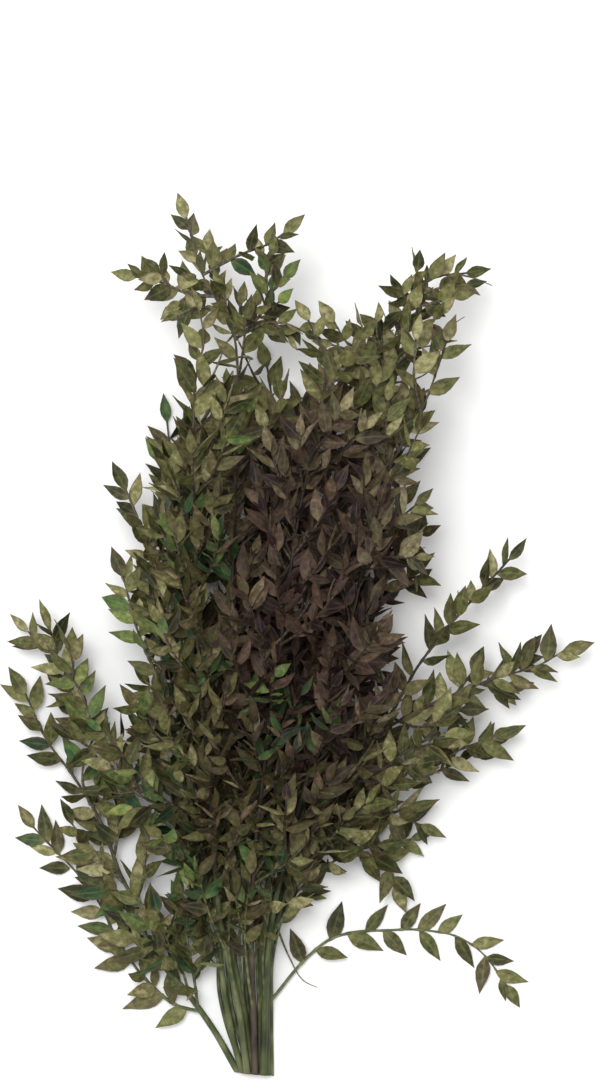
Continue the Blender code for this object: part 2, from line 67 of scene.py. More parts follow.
# Each stem: its row and place in the bundle of cut ends, then the points that it passes through
STEMS = {
    "stem_left_low": (0, 0, [
        (-21, 20, 3), (-37, 44, 6), (-52, 64, 10), (-66, 80, 14), (-75, 98, 17), (-81, 117, 18),
        (-88, 130, 17), (-96, 149, 15), (-102, 167, 13), (-112, 184, 11), (-123, 203, 10),
        (-137, 221, 9), (-150, 245, 9), (-156, 260, 10),
    ]),
    "stem_back_left": (0, 1, [
        (-9, 24, 2.1), (-15, 90, 8), (-30, 180, 16), (-43, 270, 18), (-50, 350, 13), (-57, 410, 6),
        (-60, 445, 3),
    ]),
    "stem_back_middle": (0, 2, [
        (-1, 24, 2.1), (-5, 90, 8), (3, 190, 17), (10, 290, 19), (14, 380, 13), (14, 430, 4),
        (12, 458, 0), (8, 482, 0),
    ]),
    "stem_back_right": (0, 3, [
        (5, 24, 2.1), (6, 90, 9), (38, 190, 16), (72, 285, 18), (91, 355, 14), (98, 412, 8),
        (101, 452, 5),
    ]),
    "stem_right_low": (0, 4, [
        (10.3, 24, 2.1), (10.3, 52, 4), (11.5, 82, 9), (18, 108, 13), (30, 132, 16),
        (52, 156, 18), (84, 188, 20), (105, 200, 18), (126, 208, 15), (142, 216, 12),
        (161, 225, 9),
    ]),
    "stem_left_middle": (1, 0, [
        (-14.5, 24, 9), (-21, 60, 15), (-24.5, 90, 20), (-27, 120, 28), (-34, 150, 38),
        (-50, 210, 52), (-61, 270, 60), (-67, 325, 62), (-72, 358, 60), (-80, 382, 56),
        (-87, 398, 52),
    ]),
    "stem_left_tall": (1, 1, [
        (-4.5, 24, 8), (-16, 90, 25), (-17, 200, 48), (-16, 300, 66), (-13, 400, 76), (-12, 455, 78),
        (-16, 507, 77), (-28, 527, 75), (-36, 545, 73), (-40, 560, 71), (-46, 581, 68),
    ]),
    "stem_right_tall": (1, 2, [
        (3, 24, 8), (4, 90, 23), (21, 200, 46), (43, 300, 60), (67, 380, 66), (82, 430, 67),
        (88, 472, 66), (95, 503, 64), (105, 526, 61), (118, 539, 57), (143, 544, 50),
    ]),
    "stem_right_middle": (1, 3, [
        (7.8, 24, 8), (10.5, 90, 22), (36, 160, 39), (70, 214, 48), (98, 257, 47), (114, 285, 44),
        (128, 302, 41), (149, 326, 37), (172, 351, 33),
    ]),
    "stem_front_left": (2, 0, [
        (-7.5, 24, 13.5), (-21, 90, 34), (-30, 200, 70), (-38, 300, 92), (-40, 400, 100),
        (-40, 459, 97), (-38, 484, 94), (-34, 500, 91), (-37, 518, 88),
    ]),
    "stem_front_middle": (2, 1, [
        (-0.5, 24, 13.5), (-3, 90, 35), (5, 200, 76), (18, 300, 101), (33, 400, 108), (45, 456, 105),
        (47, 484, 101), (41, 499, 97), (36, 511, 93),
    ]),
    "stem_front_right": (2, 2, [
        (6, 24, 13.5), (9, 90, 33), (34, 200, 68), (62, 300, 90), (78, 370, 96), (88, 408, 95),
        (103, 434, 92), (115, 458, 88), (123, 484, 82), (129, 498, 78),
    ]),
}

# %% Routes of the side branches that stand clear
# Each one: the bare length at its root, then the points that it passes through
OUTER_BRANCHES = {
    "stem_left_low": [
        (10, [(-37, 44, 6), (-49, 46, 5), (-61, 53, 4), (-73, 64, 3), (-83, 77, 2), (-93, 91, 0),
              (-100, 105, 0), (-105, 116, 0), (-116, 129, 0), (-129, 144, 0), (-141, 157, 0),
              (-151, 169, 0)]),
        (14, [(-38, 47, 7), (-41, 64, 16), (-44, 82, 22), (-48, 105, 26), (-51, 122, 28)]),
        (26, [(-44, 54, 8), (-50, 74, 20), (-59, 92, 29), (-66, 112, 33)]),
        (12, [(-96, 149, 15), (-92, 166, 21), (-84, 182, 27), (-80, 200, 31)]),
        (8, [(-112, 184, 11), (-117, 202, 20), (-114, 220, 26), (-108, 232, 28)]),
    ],
    "stem_left_middle": [
        (14, [(-34, 150, 38), (-50, 172, 44), (-72, 190, 43), (-92, 204, 40), (-104, 224, 36),
              (-111, 243, 32), (-118, 261, 28), (-130, 278, 24), (-145, 293, 20), (-154, 302, 18)]),
        (14, [(-60, 262, 59), (-74, 290, 62), (-83, 318, 58), (-89, 340, 53)]),
        (10, [(-23, 90, 20), (-32, 102, 30), (-38, 118, 42), (-42, 134, 50)]),
    ],
    "stem_left_tall": [
        (6, [(-28, 527, 75), (-44, 529, 72), (-60, 536, 69), (-72, 539, 66), (-80, 541, 64)]),
        (14, [(-15, 498, 77), (-4, 507, 79), (4, 515, 80), (8, 528, 80), (8, 542, 79), (5, 554, 77)]),
        (8, [(-35, 542, 73), (-20, 549, 77), (-6, 557, 79), (8, 562, 79), (20, 570, 77)]),
    ],
    "stem_right_tall": [
        (12, [(88, 468, 66), (80, 477, 67), (67, 490, 67), (59, 500, 66), (53, 511, 64)]),
        (8, [(95, 503, 64), (104, 505, 70), (116, 508, 74), (124, 516, 75)]),
        (8, [(88, 474, 66), (98, 486, 70), (108, 492, 73), (121, 495, 74)]),
    ],
    "stem_right_middle": [
        (20, [(85, 234, 47), (104, 245, 45), (121, 254, 42), (140, 262, 38), (158, 269, 34),
              (179, 276, 30), (198, 282, 27), (209, 289, 25)]),
        (12, [(60, 196, 46), (80, 206, 54), (98, 218, 58), (112, 228, 60), (128, 232, 58)]),
    ],
    "stem_right_low": [
        (34, [(11, 51, 4), (26, 68, 4), (40, 85, 3), (56, 95, 0), (78, 98, 0), (98, 99, 0),
              (122, 98, 0), (136, 95, 0), (150, 87, 0), (162, 74, 0), (171, 61, 0)]),
        (14, [(49, 150, 17), (68, 153, 18), (82, 149, 16), (92, 140, 12), (95, 130, 9)]),
        (12, [(70, 176, 20), (86, 178, 23), (102, 174, 22), (113, 171, 20)]),
        (12, [(112, 203, 17), (128, 215, 23), (147, 226, 27), (165, 231, 28)]),
        (12, [(62, 166, 18), (78, 160, 11), (92, 158, 8), (106, 161, 6)]),
    ],
    "stem_front_left": [
        (12, [(-39, 360, 98), (-47, 386, 96), (-56, 404, 91), (-62, 418, 86)]),
    ],
}

# %% [markdown]
# ## Lines that stems and twigs follow
#
# A stem could be a Bezier curve with handles set by hand. A Hermite curve through the route's
# points needs no handles: the tangent at each point comes from its neighbours. The line keeps
# its radius at every point, so that a leaf knows how thick the twig is where it grows.

# %% Smooth lines
STEM_RADIUS = 2.4
STEM_TIP_RADIUS = 0.95
STEM_SIDES = 6
STEM_GAP = 0.35
ROW_COUNTS = (5, 4, 3)
BRANCH_RADIUS = 1.35
BRANCH_TIP_RADIUS = 0.9
BRANCH_SIDES = 3
CURVE_STEP = 4.0
CHORD_ERROR = 1.2


def curve_through(points, step):
    """Points about `step` apart on a smooth curve through `points`."""
    chords = [b - a for a, b in zip(points, points[1:])]
    headings = [chord.normalized() for chord in chords]
    tangents = [headings[0]]
    for first, second, before, after in zip(chords, chords[1:], headings, headings[1:]):
        tangents.append(before.lerp(after, first.length / (first.length + second.length)))
    tangents.append(headings[-1])
    curve = [points[0]]
    for i, chord in enumerate(chords):
        length = chord.length
        count = max(1, round(length / step))
        for k in range(1, count + 1):
            t = k / count
            curve.append(
                points[i] * (2 * t**3 - 3 * t**2 + 1)
                + points[i + 1] * (3 * t**2 - 2 * t**3)
                + tangents[i] * length * (t**3 - 2 * t**2 + t)
                + tangents[i + 1] * length * (t**3 - t**2)
            )
    return curve


def nearest_on(start, end, point):
    """The spot between `start` and `end` that lies nearest to `point`."""
    along = end - start
    share = (point - start).dot(along) / along.length_squared
    return start + along * max(0.0, min(1.0, share))


def fewer_points(points, error):
    """The points that a line through them needs, so that it strays no further than `error`."""
    if len(points) < 3:
        return points
    start, end = points[0], points[-1]
    strays = [(point - nearest_on(start, end, point)).length for point in points[1:-1]]
    worst = max(range(len(strays)), key=strays.__getitem__)
    if strays[worst] <= error:
        return [start, end]
    middle = worst + 1
    first = fewer_points(points[: middle + 1], error)
    return first[:-1] + fewer_points(points[middle:], error)


def level_frame(heading):
    """Two directions square to a heading that isn't upright, the first one level."""
    across = heading.cross(UP).normalized()
    return across, across.cross(heading).normalized()


class Axis:
    """The line that a stem or a twig follows, with its radius at each point."""

    def __init__(self, name, points, root_radius, tip_radius, sides):
        self.name = name
        self.sides = sides
        self.points = fewer_points(curve_through(points, CURVE_STEP), CHORD_ERROR)
        self.distances = [0.0]
        for a, b in zip(self.points, self.points[1:]):
            self.distances.append(self.distances[-1] + (b - a).length)
        self.length = self.distances[-1]
        taper = (tip_radius - root_radius) / self.length
        self.radii = [root_radius + taper * distance for distance in self.distances]
        flat = math.cos(math.pi / sides)
        for point, radius in zip(self.points, self.radii):
            point.z = max(point.z, radius * flat)
        self.knots = []

    def place(self, distance):
        """Point, heading and radius at a distance from the root."""
        i = 0
        while i < len(self.points) - 2 and self.distances[i + 1] < distance:
            i += 1
        share = (distance - self.distances[i]) / (self.distances[i + 1] - self.distances[i])
        point = self.points[i].lerp(self.points[i + 1], share)
        heading = (self.points[i + 1] - self.points[i]).normalized()
        return point, heading, self.radii[i] + (self.radii[i + 1] - self.radii[i]) * share

    def nearest(self, point):
        """The spot on the line that lies nearest to `point`."""
        spots = [nearest_on(a, b, point) for a, b in zip(self.points, self.points[1:])]
        return min(spots, key=lambda spot: (spot - point).length)

    def samples(self, start=0.0, step=2.5):
        """Points and radii every few millimetres."""
        count = max(2, int((self.length - start) / step))
        places = [self.place(start + (self.length - start) * k / count) for k in range(count + 1)]
        return np.array([point for point, _, _ in places]), np.array([r for _, _, r in places])

    def shape(self):
        """Corners and faces of a plain closed tube round the line, to keep leaves clear of it."""
        stretches = [(b - a).normalized() for a, b in zip(self.points, self.points[1:])]
        middles = [(a + b).normalized() for a, b in zip(stretches, stretches[1:])]
        corners, faces = [], []
        for point, radius, heading in zip(
            self.points, self.radii, [stretches[0], *middles, stretches[-1]]
        ):
            across, rise = level_frame(heading)
            for k in range(self.sides):
                turn = (2 * k + 1) * math.pi / self.sides - math.pi / 2
                corners.append(point + radius * (math.cos(turn) * across + math.sin(turn) * rise))
        for ring in range(len(self.points) - 1):
            for k in range(self.sides):
                a, b = ring * self.sides + k, ring * self.sides + (k + 1) % self.sides
                faces.append((a, a + self.sides, b + self.sides, b))
        return corners, faces


def cut_end(row, place):
    """Centre of a stem's cut end, where each row lies in the hollows of the row below."""
    pitch = 2 * STEM_RADIUS + STEM_GAP
    across = (place - (ROW_COUNTS[row] - 1) / 2) * pitch
    lowest = STEM_RADIUS * math.cos(math.pi / STEM_SIDES)
    return Vector((across, 0, lowest + row * pitch * math.sin(math.radians(60))))


def stem_axis(name):
    row, place, route = STEMS[name]
    points = [cut_end(row, place), *(Vector(point) for point in route)]
    return Axis(name, points, STEM_RADIUS, STEM_TIP_RADIUS, STEM_SIDES)


def branch_axis(name, points):
    return Axis(name, points, BRANCH_RADIUS, BRANCH_TIP_RADIUS, BRANCH_SIDES)


def outer_branches(name, stem):
    """The bare length and the axis of each side branch whose route is given."""
    grown = []
    for number, (bare, route) in enumerate(OUTER_BRANCHES.get(name, [])):
        points = [Vector(point) for point in route]
        points[0] = stem.nearest(points[0])
        grown.append((bare, branch_axis(f"{name}_outer_{number}", points)))
    return grown


stems = {name: stem_axis(name) for name in STEMS}
branches = {name: outer_branches(name, stem) for name, stem in stems.items()}
print("outer branches:", sum(len(grown) for grown in branches.values()))

# %% [markdown]
# ## Keeping leaves apart
#
# Leaves scattered at random would cut through each other. A physics run could push them apart,
# but it is slow and never quite settles. Here each new leaf is tried first: a box test finds the
# few things that are near, and a tree of triangles says whether the leaf would meet one of them.

# %% What is in place already
MOST_THINGS = 12000


class Crowd:
    """The twigs and leaves in place, so that the next one can keep clear of them."""

    def __init__(self):
        self.line_points = np.empty((0, 3))
        self.line_radii = np.empty(0)
        self.lows = np.empty((MOST_THINGS, 3))
        self.highs = np.empty((MOST_THINGS, 3))
        self.owners = []
        self.trees = []

    def add_shape(self, shape, owner):
        points = np.array(shape[0])
        self.lows[len(self.trees)] = points.min(0)
        self.highs[len(self.trees)] = points.max(0)
        self.owners.append(owner)
        self.trees.append(BVHTree.FromPolygons(*shape))

    def add_axis(self, axis):
        points, radii = axis.samples()
        self.line_points = np.vstack([self.line_points, points])
        self.line_radii = np.concatenate([self.line_radii, radii])
        self.add_shape(axis.shape(), axis.name)

    def room_round(self, axis, start):
        """The least room round an axis beyond `start`, and the mean room round its outer half."""
        points, radii = axis.samples(start)
        between = points[:, None, :] - self.line_points[None, :, :]
        room = np.sqrt((between**2).sum(2)) - radii[:, None] - self.line_radii[None, :]
        return room.min(), room[len(room) // 2 :].min(1).mean()

    def leaf_is_clear(self, shape, own_axis):
        """True if a leaf meets no other leaf, and no twig but its own."""
        points = np.array(shape[0])
        count = len(self.trees)
        near = (self.lows[:count] <= points.max(0)).all(1) & (self.highs[:count] >= points.min(0)).all(1)
        tree = BVHTree.FromPolygons(*shape)
        for i in np.flatnonzero(near):
            if self.owners[i] != own_axis and self.trees[i].overlap(tree):
                return False
        return True


crowd = Crowd()
for name, stem in stems.items():
    for axis in [stem, *(axis for _, axis in branches[name])]:
        crowd.add_axis(axis)
print("lines in place:", len(crowd.trees))

# %% [markdown]
# ## Where leaves stand
#
# What looks like a leaf on this plant is a flattened twig. They stand on alternate sides of a
# branch, slant forward, and roll and tilt a little by chance. The draw is seeded by the branch's
# name and the leaf's number, so a leaf keeps its place when another branch changes.

# %% Leaf places
LEAF_LENGTH = 24.0
LEAF_WIDTH = 10.6
LEAF_THICKNESS = 0.95
LEAF_ROOT_THICKNESS = 0.7
WIDEST_SHARE = 0.4
TAPER_SHARE = 0.75
TAPER_WIDTH = 0.6
MOST_CURL = 0.12
LEAF_SIZES = (0.86, 1.12)
SIZE_LOST_AT_TIP = 0.12
TIP_LEAF_SIZE = 0.78
LEAF_SLANT = 60.0
SLANT_LOST_AT_TIP = 16.0
SLANT_SPREAD = 9.0
TIP_LEAF_SLANT = 14.0
LEAF_SPACING = 12.8
LEAFY_END_OF_STEM = 130.0
LEAF_CLEARANCE = 0.4
PRESSED_HEIGHT = 1.3
PRESSED_LIFT = 0.3
PRESSED_TRIES = 6
LEVEL_ENOUGH = 0.1
LOWEST_LOOSE_POINT = 0.3
LEAF_TRIES = 14
WANDER_PER_TRY = 0.25
SHRINK_PER_TRY = 0.97
TILT_PER_ROLL = 0.75
# How leaves stand: spread of their roll in degrees, sizes in turn, share of the slant, most curl
ON_OUTER = (22.0, (1.0,), 1.0, MOST_CURL)
ON_STEM = (40.0, (1.0,), 1.0, MOST_CURL)
ON_DENSE = (60.0, (1.0,), 1.0, MOST_CURL)


def leaf_outline(root, along, normal, length, width, curl, pressed, extra=0.0):
    """A plain blade of eight corners, to try a leaf's place with. `extra` fattens it."""
    across = along.cross(normal)
    base = root if pressed else root - normal * (LEAF_ROOT_THICKNESS / 2)
    lift = PRESSED_LIFT if pressed else 0.0
    half = width / 2

    def spot(share, side, height):
        bend = normal * (curl * length * share**2)
        return base + along * (share * length) + bend + across * side + normal * height

    corners = [
        spot(0, 0, lift - extra),
        spot(0, 0, lift + LEAF_ROOT_THICKNESS + extra),
        spot(WIDEST_SHARE, -half - extra, -extra),
        spot(WIDEST_SHARE, 0, LEAF_THICKNESS + extra),
        spot(WIDEST_SHARE, half + extra, -extra),
        spot(TAPER_SHARE, -half * TAPER_WIDTH - extra, -extra),
        spot(TAPER_SHARE, half * TAPER_WIDTH + extra, -extra),
        spot(1 + extra / length, 0, 0),
    ]
    faces = [
        (0, 2, 4), (0, 1, 2), (1, 3, 2), (0, 4, 1), (1, 4, 3),
        (2, 5, 4), (4, 5, 6), (2, 3, 5), (3, 7, 5), (3, 4, 6), (3, 6, 7), (5, 7, 6),
    ]
    return corners, faces


def leaf_try(axis, distance, number, terminal, habit, chance, attempt):
    """One way for a leaf to stand on its branch, as the values that leaf_outline takes."""
    roll_spread, scales, lean, most_curl = habit
    root, heading, radius = axis.place(distance)
    across, rise = level_frame(heading)
    wander = 1.0 + WANDER_PER_TRY * attempt
    side = 1 if number % 2 else -1
    roll = math.radians(chance.gauss(0, roll_spread) * wander)
    outward = side * across * math.cos(roll) + rise * math.sin(roll)
    share = distance / axis.length
    slant = LEAF_SLANT - SLANT_LOST_AT_TIP * share + chance.uniform(-1, 1) * SLANT_SPREAD * wander
    slant *= lean
    if terminal:
        slant = chance.random() * TIP_LEAF_SLANT * wander
    along = heading * math.cos(math.radians(slant)) + outward * math.sin(math.radians(slant))
    tilt = math.radians(chance.gauss(0, TILT_PER_ROLL * roll_spread) * wander)
    size = TIP_LEAF_SIZE if terminal else 1.0 - SIZE_LOST_AT_TIP * share
    size *= chance.uniform(*LEAF_SIZES) * SHRINK_PER_TRY**attempt
    size *= scales[number % len(scales)]
    curl = chance.random() * most_curl
    level = abs(heading.z) < LEVEL_ENOUGH
    pressed = level and root.z < PRESSED_HEIGHT and attempt < PRESSED_TRIES
    if pressed:
        curl = 0.0
        along = Vector((along.x, along.y, 0.0)).normalized()
        root = Vector((root.x, root.y, 0.0))
        normal = UP.copy()
    else:
        normal = (rise - rise.dot(along) * along).normalized()
        normal = Matrix.Rotation(tilt, 3, along) @ normal
    return root, along, normal, size * LEAF_LENGTH + radius, size * LEAF_WIDTH, curl, pressed


def grow_leaf(axis, distance, number, terminal, habit, chance, tries, clearance):
    """The first of some tries at which a leaf is clear of its neighbours, or None."""
    for attempt in range(tries):
        way = leaf_try(axis, distance, number, terminal, habit, chance, attempt)
        shape = leaf_outline(*way)
        pressed = way[-1]
        lowest = min(corner.z for corner in shape[0])
        if lowest < LOWEST_LOOSE_POINT and not pressed:
            continue
        if crowd.leaf_is_clear(leaf_outline(*way, extra=clearance), axis.name):
            crowd.add_shape(shape, None)
            axis.knots.append(distance)
            return way
    return None


def leaves_along(axis, bare, habit, spacing=LEAF_SPACING):
    """Leaves on alternate sides of an axis, and one at its tip."""
    count = max(2, round((axis.length - bare) / spacing))
    grown = []
    for number in range(count + 1):
        terminal = number == count
        distance = bare + (axis.length - bare) * number / count
        if terminal:
            distance = axis.length - LEAF_ROOT_THICKNESS
        chance = random.Random(f"{axis.name}_leaf_{number}")
        way = grow_leaf(
            axis, distance, number, terminal, habit, chance, LEAF_TRIES, LEAF_CLEARANCE
        )
        if way:
            grown.append(way)
    return grown


leaves = {name: [] for name in STEMS}
for name in STEMS:
    for bare, axis in branches[name]:
        leaves[name] += leaves_along(axis, bare, ON_OUTER)
for name, stem in stems.items():
    leaves[name] += leaves_along(stem, stem.length - LEAFY_END_OF_STEM, ON_STEM)
print("leaves on the outer branches and stem tips:", sum(len(ways) for ways in leaves.values()))

# %% [markdown]
# ## The dense middle
#
# Where the stems cross, no single branch can be followed in a photograph. A rule grows them: at
# even steps along a stem a twig is tried at many turns, and the one with most room round it
# stays. The outline of the middle, seen from above, keeps the twigs inside the real bunch.

# %% Side branches of the dense middle
# The first and last share of the stem's length that bears them, and how many there are
DENSE_BRANCHES = {
    "stem_left_low": (0.60, 0.78, 1),
    "stem_back_left": (0.30, 0.94, 7),
    "stem_back_middle": (0.28, 0.95, 6),
    "stem_back_right": (0.30, 0.95, 6),
    "stem_right_low": (0.50, 0.72, 2),
    "stem_left_middle": (0.34, 0.88, 6),
    "stem_left_tall": (0.32, 0.80, 6),
    "stem_right_tall": (0.32, 0.82, 6),
    "stem_right_middle": (0.36, 0.58, 2),
    "stem_front_left": (0.28, 0.88, 6),
    "stem_front_middle": (0.26, 0.90, 7),
    "stem_front_right": (0.30, 0.90, 6),
}
DENSE_LENGTH = 72.0
DENSE_LENGTHS = (0.75, 1.1)
LENGTH_LOST_AT_TIP = 0.3
DENSE_BARE = 16.0
DENSE_SLANTS = (34.0, 52.0)
BEND_STEPS = 4
BEND_BACK = 0.6
BRANCH_TRIES = 24
TURN_SPREAD = 5.0
BRANCH_CLEARANCE = 1.2
CROTCH_LENGTH = 8.0

# Distance from the cut ends, then the left and right edge of the middle
BODY_OUTLINE = (
    (100, -34, 22), (125, -46, 34), (160, -64, 66), (200, -82, 90), (240, -84, 94),
    (290, -74, 90), (350, -76, 100), (390, -68, 88), (440, -54, 112), (460, -30, 108),
    (520, -30, 108), (600, -60, 120),
)
# Its lowest point, and its height above the surface for a distance from the cut ends
BODY_BOTTOM = 2.0
BODY_TOP = ((100, 52), (200, 104), (300, 130), (420, 134), (500, 118), (600, 96))


def from_table(table, distance, column):
    """A value of one of the tables above, between its rows."""
    return float(np.interp(distance, [row[0] for row in table], [row[column] for row in table]))


def inside_body(point):
    left, right = (from_table(BODY_OUTLINE, point.y, column) for column in (1, 2))
    return left < point.x < right and BODY_BOTTOM < point.z < from_table(BODY_TOP, point.y, 1)


def slanting_branch(name, parent, distance, turn, slant, length):
    """A twig that leaves its parent at a slant and bends back towards the parent's heading."""
    root, heading, _ = parent.place(distance)
    across, rise = level_frame(heading)
    outward = across * math.cos(turn) + rise * math.sin(turn)
    points = [root]
    for k in range(BEND_STEPS):
        lean = slant * (1.0 - BEND_BACK * k / BEND_STEPS)
        stretch = heading * math.cos(lean) + outward * math.sin(lean)
        points.append(points[-1] + stretch * (length / BEND_STEPS))
    return branch_axis(name, points)


def all_round(tries):
    return [360 * attempt / tries for attempt in range(tries)]


def roomiest_branch(name, parent, distance, usual_length, turns, clearance, allowed):
    """Of the twigs that these turns give here, the one with most room round it, or None."""
    chance = random.Random(name)
    best_room, best = 0.0, None
    for turn in turns:
        turn = math.radians(turn + chance.uniform(-1, 1) * TURN_SPREAD)
        slant = math.radians(chance.uniform(*DENSE_SLANTS))
        length = usual_length * chance.uniform(*DENSE_LENGTHS)
        branch = slanting_branch(name, parent, distance, turn, slant, length)
        middle = branch.place(branch.length / 2)[0]
        if not (allowed(branch.points[-1]) and allowed(middle)):
            continue
        least, outer = crowd.room_round(branch, CROTCH_LENGTH)
        if least > clearance and outer > best_room:
            best_room, best = outer, branch
    return best


def dense_branches(name, stem):
    first, last, count = DENSE_BRANCHES[name]
    grown = []
    for k in range(count):
        share = first + (last - first) * k / max(1, count - 1)
        length = DENSE_LENGTH * (1.0 - LENGTH_LOST_AT_TIP * share)
        branch = roomiest_branch(
            f"{name}_dense_{k}", stem, share * stem.length, length, all_round(BRANCH_TRIES),
            BRANCH_CLEARANCE, inside_body,
        )
        if branch:
            grown.append((DENSE_BARE, branch))
            crowd.add_axis(branch)
    return grown


for name, stem in stems.items():
    dense = dense_branches(name, stem)
    branches[name] += dense
    for bare, axis in dense:
        leaves[name] += leaves_along(axis, bare, ON_DENSE)
print("branches:", sum(len(grown) for grown in branches.values()))
print("leaves that the solids have too:", sum(len(ways) for ways in leaves.values()))

# %% [markdown]
# ## Low branches along listed routes
#
# The solids leave out what would cost them too many triangles. The bundle above the cut is really
# almost closed: thin branches leave the stems low down and run up beside them, and a few small
# leafy shoots hang in front. They could be grown by a rule, but they are plain to see in the
# photograph, so each has a route. Three twigs near the base lost all their leaves.

# %% Routes that only this model has
LOW_BRANCHES = {
    "stem_left_low": [
        (16, [(-60, 74, 12), (-68, 92, 22), (-72, 108, 28), (-80, 124, 32)]),
        (14, [(-81, 117, 18), (-76, 134, 27), (-74, 152, 33), (-70, 168, 37)]),
        (14, [(-88, 130, 17), (-100, 142, 22), (-112, 158, 25), (-124, 172, 26)]),
    ],
    "stem_back_left": [
        (40, [(-14, 85, 7), (-21, 118, 11), (-31, 150, 16), (-42, 180, 22)]),
    ],
    "stem_back_right": [
        (40, [(6, 66, 6), (13, 105, 9), (24, 146, 13), (38, 180, 20)]),
        (8, [(66, 262, 18), (76, 270, 26), (84, 281, 33), (88, 294, 38)]),
        (8, [(68, 272, 18), (78, 284, 22), (85, 298, 24)]),
        (8, [(88, 340, 15), (98, 338, 28), (106, 338, 38), (112, 340, 46)]),
        (8, [(91, 356, 14), (98, 360, 26), (105, 364, 34), (112, 368, 38)]),
    ],
    "stem_left_middle": [
        (16, [(-22, 70, 16), (-29, 92, 26), (-33, 112, 36), (-40, 128, 44)]),
        (26, [(-24, 84, 19), (-30, 112, 26), (-37, 140, 32), (-47, 166, 36)]),
        (14, [(-32, 142, 35), (-45, 156, 46), (-55, 170, 54), (-62, 188, 60)]),
        (12, [(-78, 192, 42), (-86, 210, 47), (-94, 226, 49), (-104, 236, 48)]),
    ],
    "stem_left_tall": [
        (52, [(-6.5, 40, 12), (-9.5, 66, 20), (-10.5, 92, 28), (-9, 122, 38), (-10, 160, 52)]),
        (12, [(-15, 499, 77), (-3, 504, 80), (12, 510, 82), (24, 508, 82), (34, 503, 81)]),
        (6, [(-22, 518, 76), (-33, 520, 80), (-44, 519, 82), (-52, 514, 82)]),
    ],
    "stem_right_tall": [
        (50, [(3, 34, 11), (1.2, 66, 18), (1, 96, 26), (5, 136, 38), (10, 176, 50)]),
        (5, [(103, 524, 61), (114, 530, 66), (128, 534, 66), (142, 535, 62)]),
        (5, [(101, 518, 62), (112, 521, 68), (124, 525, 70), (134, 527, 70)]),
        (4, [(103, 522, 62), (101, 527, 66), (98, 533, 69)]),
        (4, [(80, 478, 67), (84, 492, 70), (86, 504, 72), (88, 514, 73)]),
    ],
    "stem_right_middle": [
        (12, [(92, 244, 47), (103, 240, 55), (114, 238, 60), (126, 244, 62)]),
        (8, [(90, 243, 47), (88, 258, 56), (84, 272, 62), (82, 286, 66)]),
    ],
    "stem_right_low": [
        (26, [(11, 84, 9), (17, 104, 18), (25, 121, 26), (36, 134, 30)]),
    ],
    "stem_front_left": [
        (44, [(-13, 55, 22), (-18, 90, 36), (-17, 122, 48), (-20, 158, 62)]),
        (20, [(-20, 84, 33), (-28, 104, 46), (-34, 124, 56), (-40, 146, 64)]),
    ],
    "stem_front_middle": [
        (46, [(-1, 42, 20), (-5.5, 76, 33), (-7, 106, 44), (-3, 140, 58)]),
        (24, [(-3, 86, 34), (-10, 106, 46), (-13, 126, 54)]),
    ],
    "stem_front_right": [
        (44, [(7, 46, 20), (5.5, 84, 33), (10, 118, 44), (14, 150, 58)]),
        (22, [(9, 92, 34), (18, 110, 42), (26, 126, 48), (30, 142, 54)]),
        (8, [(54, 272, 84), (66, 280, 84), (77, 288, 80), (84, 300, 74)]),
        (8, [(78, 368, 96), (90, 374, 92), (101, 382, 86), (109, 388, 80)]),
        (8, [(74, 350, 95), (86, 352, 92), (98, 352, 84), (108, 352, 74)]),
    ],
}
# Thicker shoots that leave the stems just above the cut
SHOOTS = {
    "stem_left_middle": [
        (100, [(-12, 10, 7.5), (-18.5, 32, 5), (-24.5, 58, 8), (-25.5, 84, 12), (-27.5, 112, 20),
               (-35, 140, 30), (-44, 168, 38)]),
    ],
    "stem_back_left": [
        (90, [(-9, 16, 3), (-13.5, 36, 6), (-17.5, 58, 8.5), (-20, 84, 12), (-21, 110, 17),
              (-23, 140, 24), (-26, 170, 32)]),
    ],
    "stem_back_middle": [
        (90, [(-2, 18, 3), (-4.5, 40, 7), (-6.5, 62, 10), (-7.5, 86, 15), (-7, 112, 22),
              (-6, 144, 32), (-4, 170, 40)]),
    ],
}
SHOOT_RADIUS = 2.1
BARE_TWIGS = {
    "stem_right_low": [
        [(15, 99, 12), (17.3, 97, 12), (18.2, 93, 11), (29.6, 70.6, 8), (36.8, 61.6, 7), (42.2, 60.2, 6)],
    ],
    "stem_right_tall": [
        [(136, 544, 52), (146, 541, 52), (155, 537, 51), (160, 535.5, 50)],
        [(108, 492, 73), (122, 502, 73), (134, 511, 72), (141, 514, 71)],
        [(104, 466, 66), (112, 474, 66), (124, 485, 66), (132, 493, 66)],
    ],
    "stem_left_middle": [
        [(-22.5, 72, 17), (-28.5, 79.6, 17), (-37.5, 87, 16)],
        [(-24.5, 89, 20), (-32, 89.2, 20), (-39.8, 90.5, 19)],
    ],
}
BARE_TWIG_RADIUS, BARE_TWIG_TIP_RADIUS = 0.95, 0.55
TOP_SPRAY = 480.0
# Distance over which the foliage turns from painted shade to olive at the edge of the middle
EDGE_INSIDE, EDGE_OUTSIDE = -30.0, 8.0
# Where the sprays at the top stand clear of the middle
TOP_CLEAR = (375.0, 480.0)
ON_LOW = (40.0, (1.0, 0.86, 1.08, 0.92, 0.74), 0.95, 0.2)
ON_TOP = (40.0, (0.8, 0.7, 0.88, 0.76), 0.9, 0.2)
LOW_LEAF_SPACING = 9.0


def smooth_step(value, low, high):
    t = min(1.0, max(0.0, (value - low) / (high - low)))
    return t * t * (3 - 2 * t)


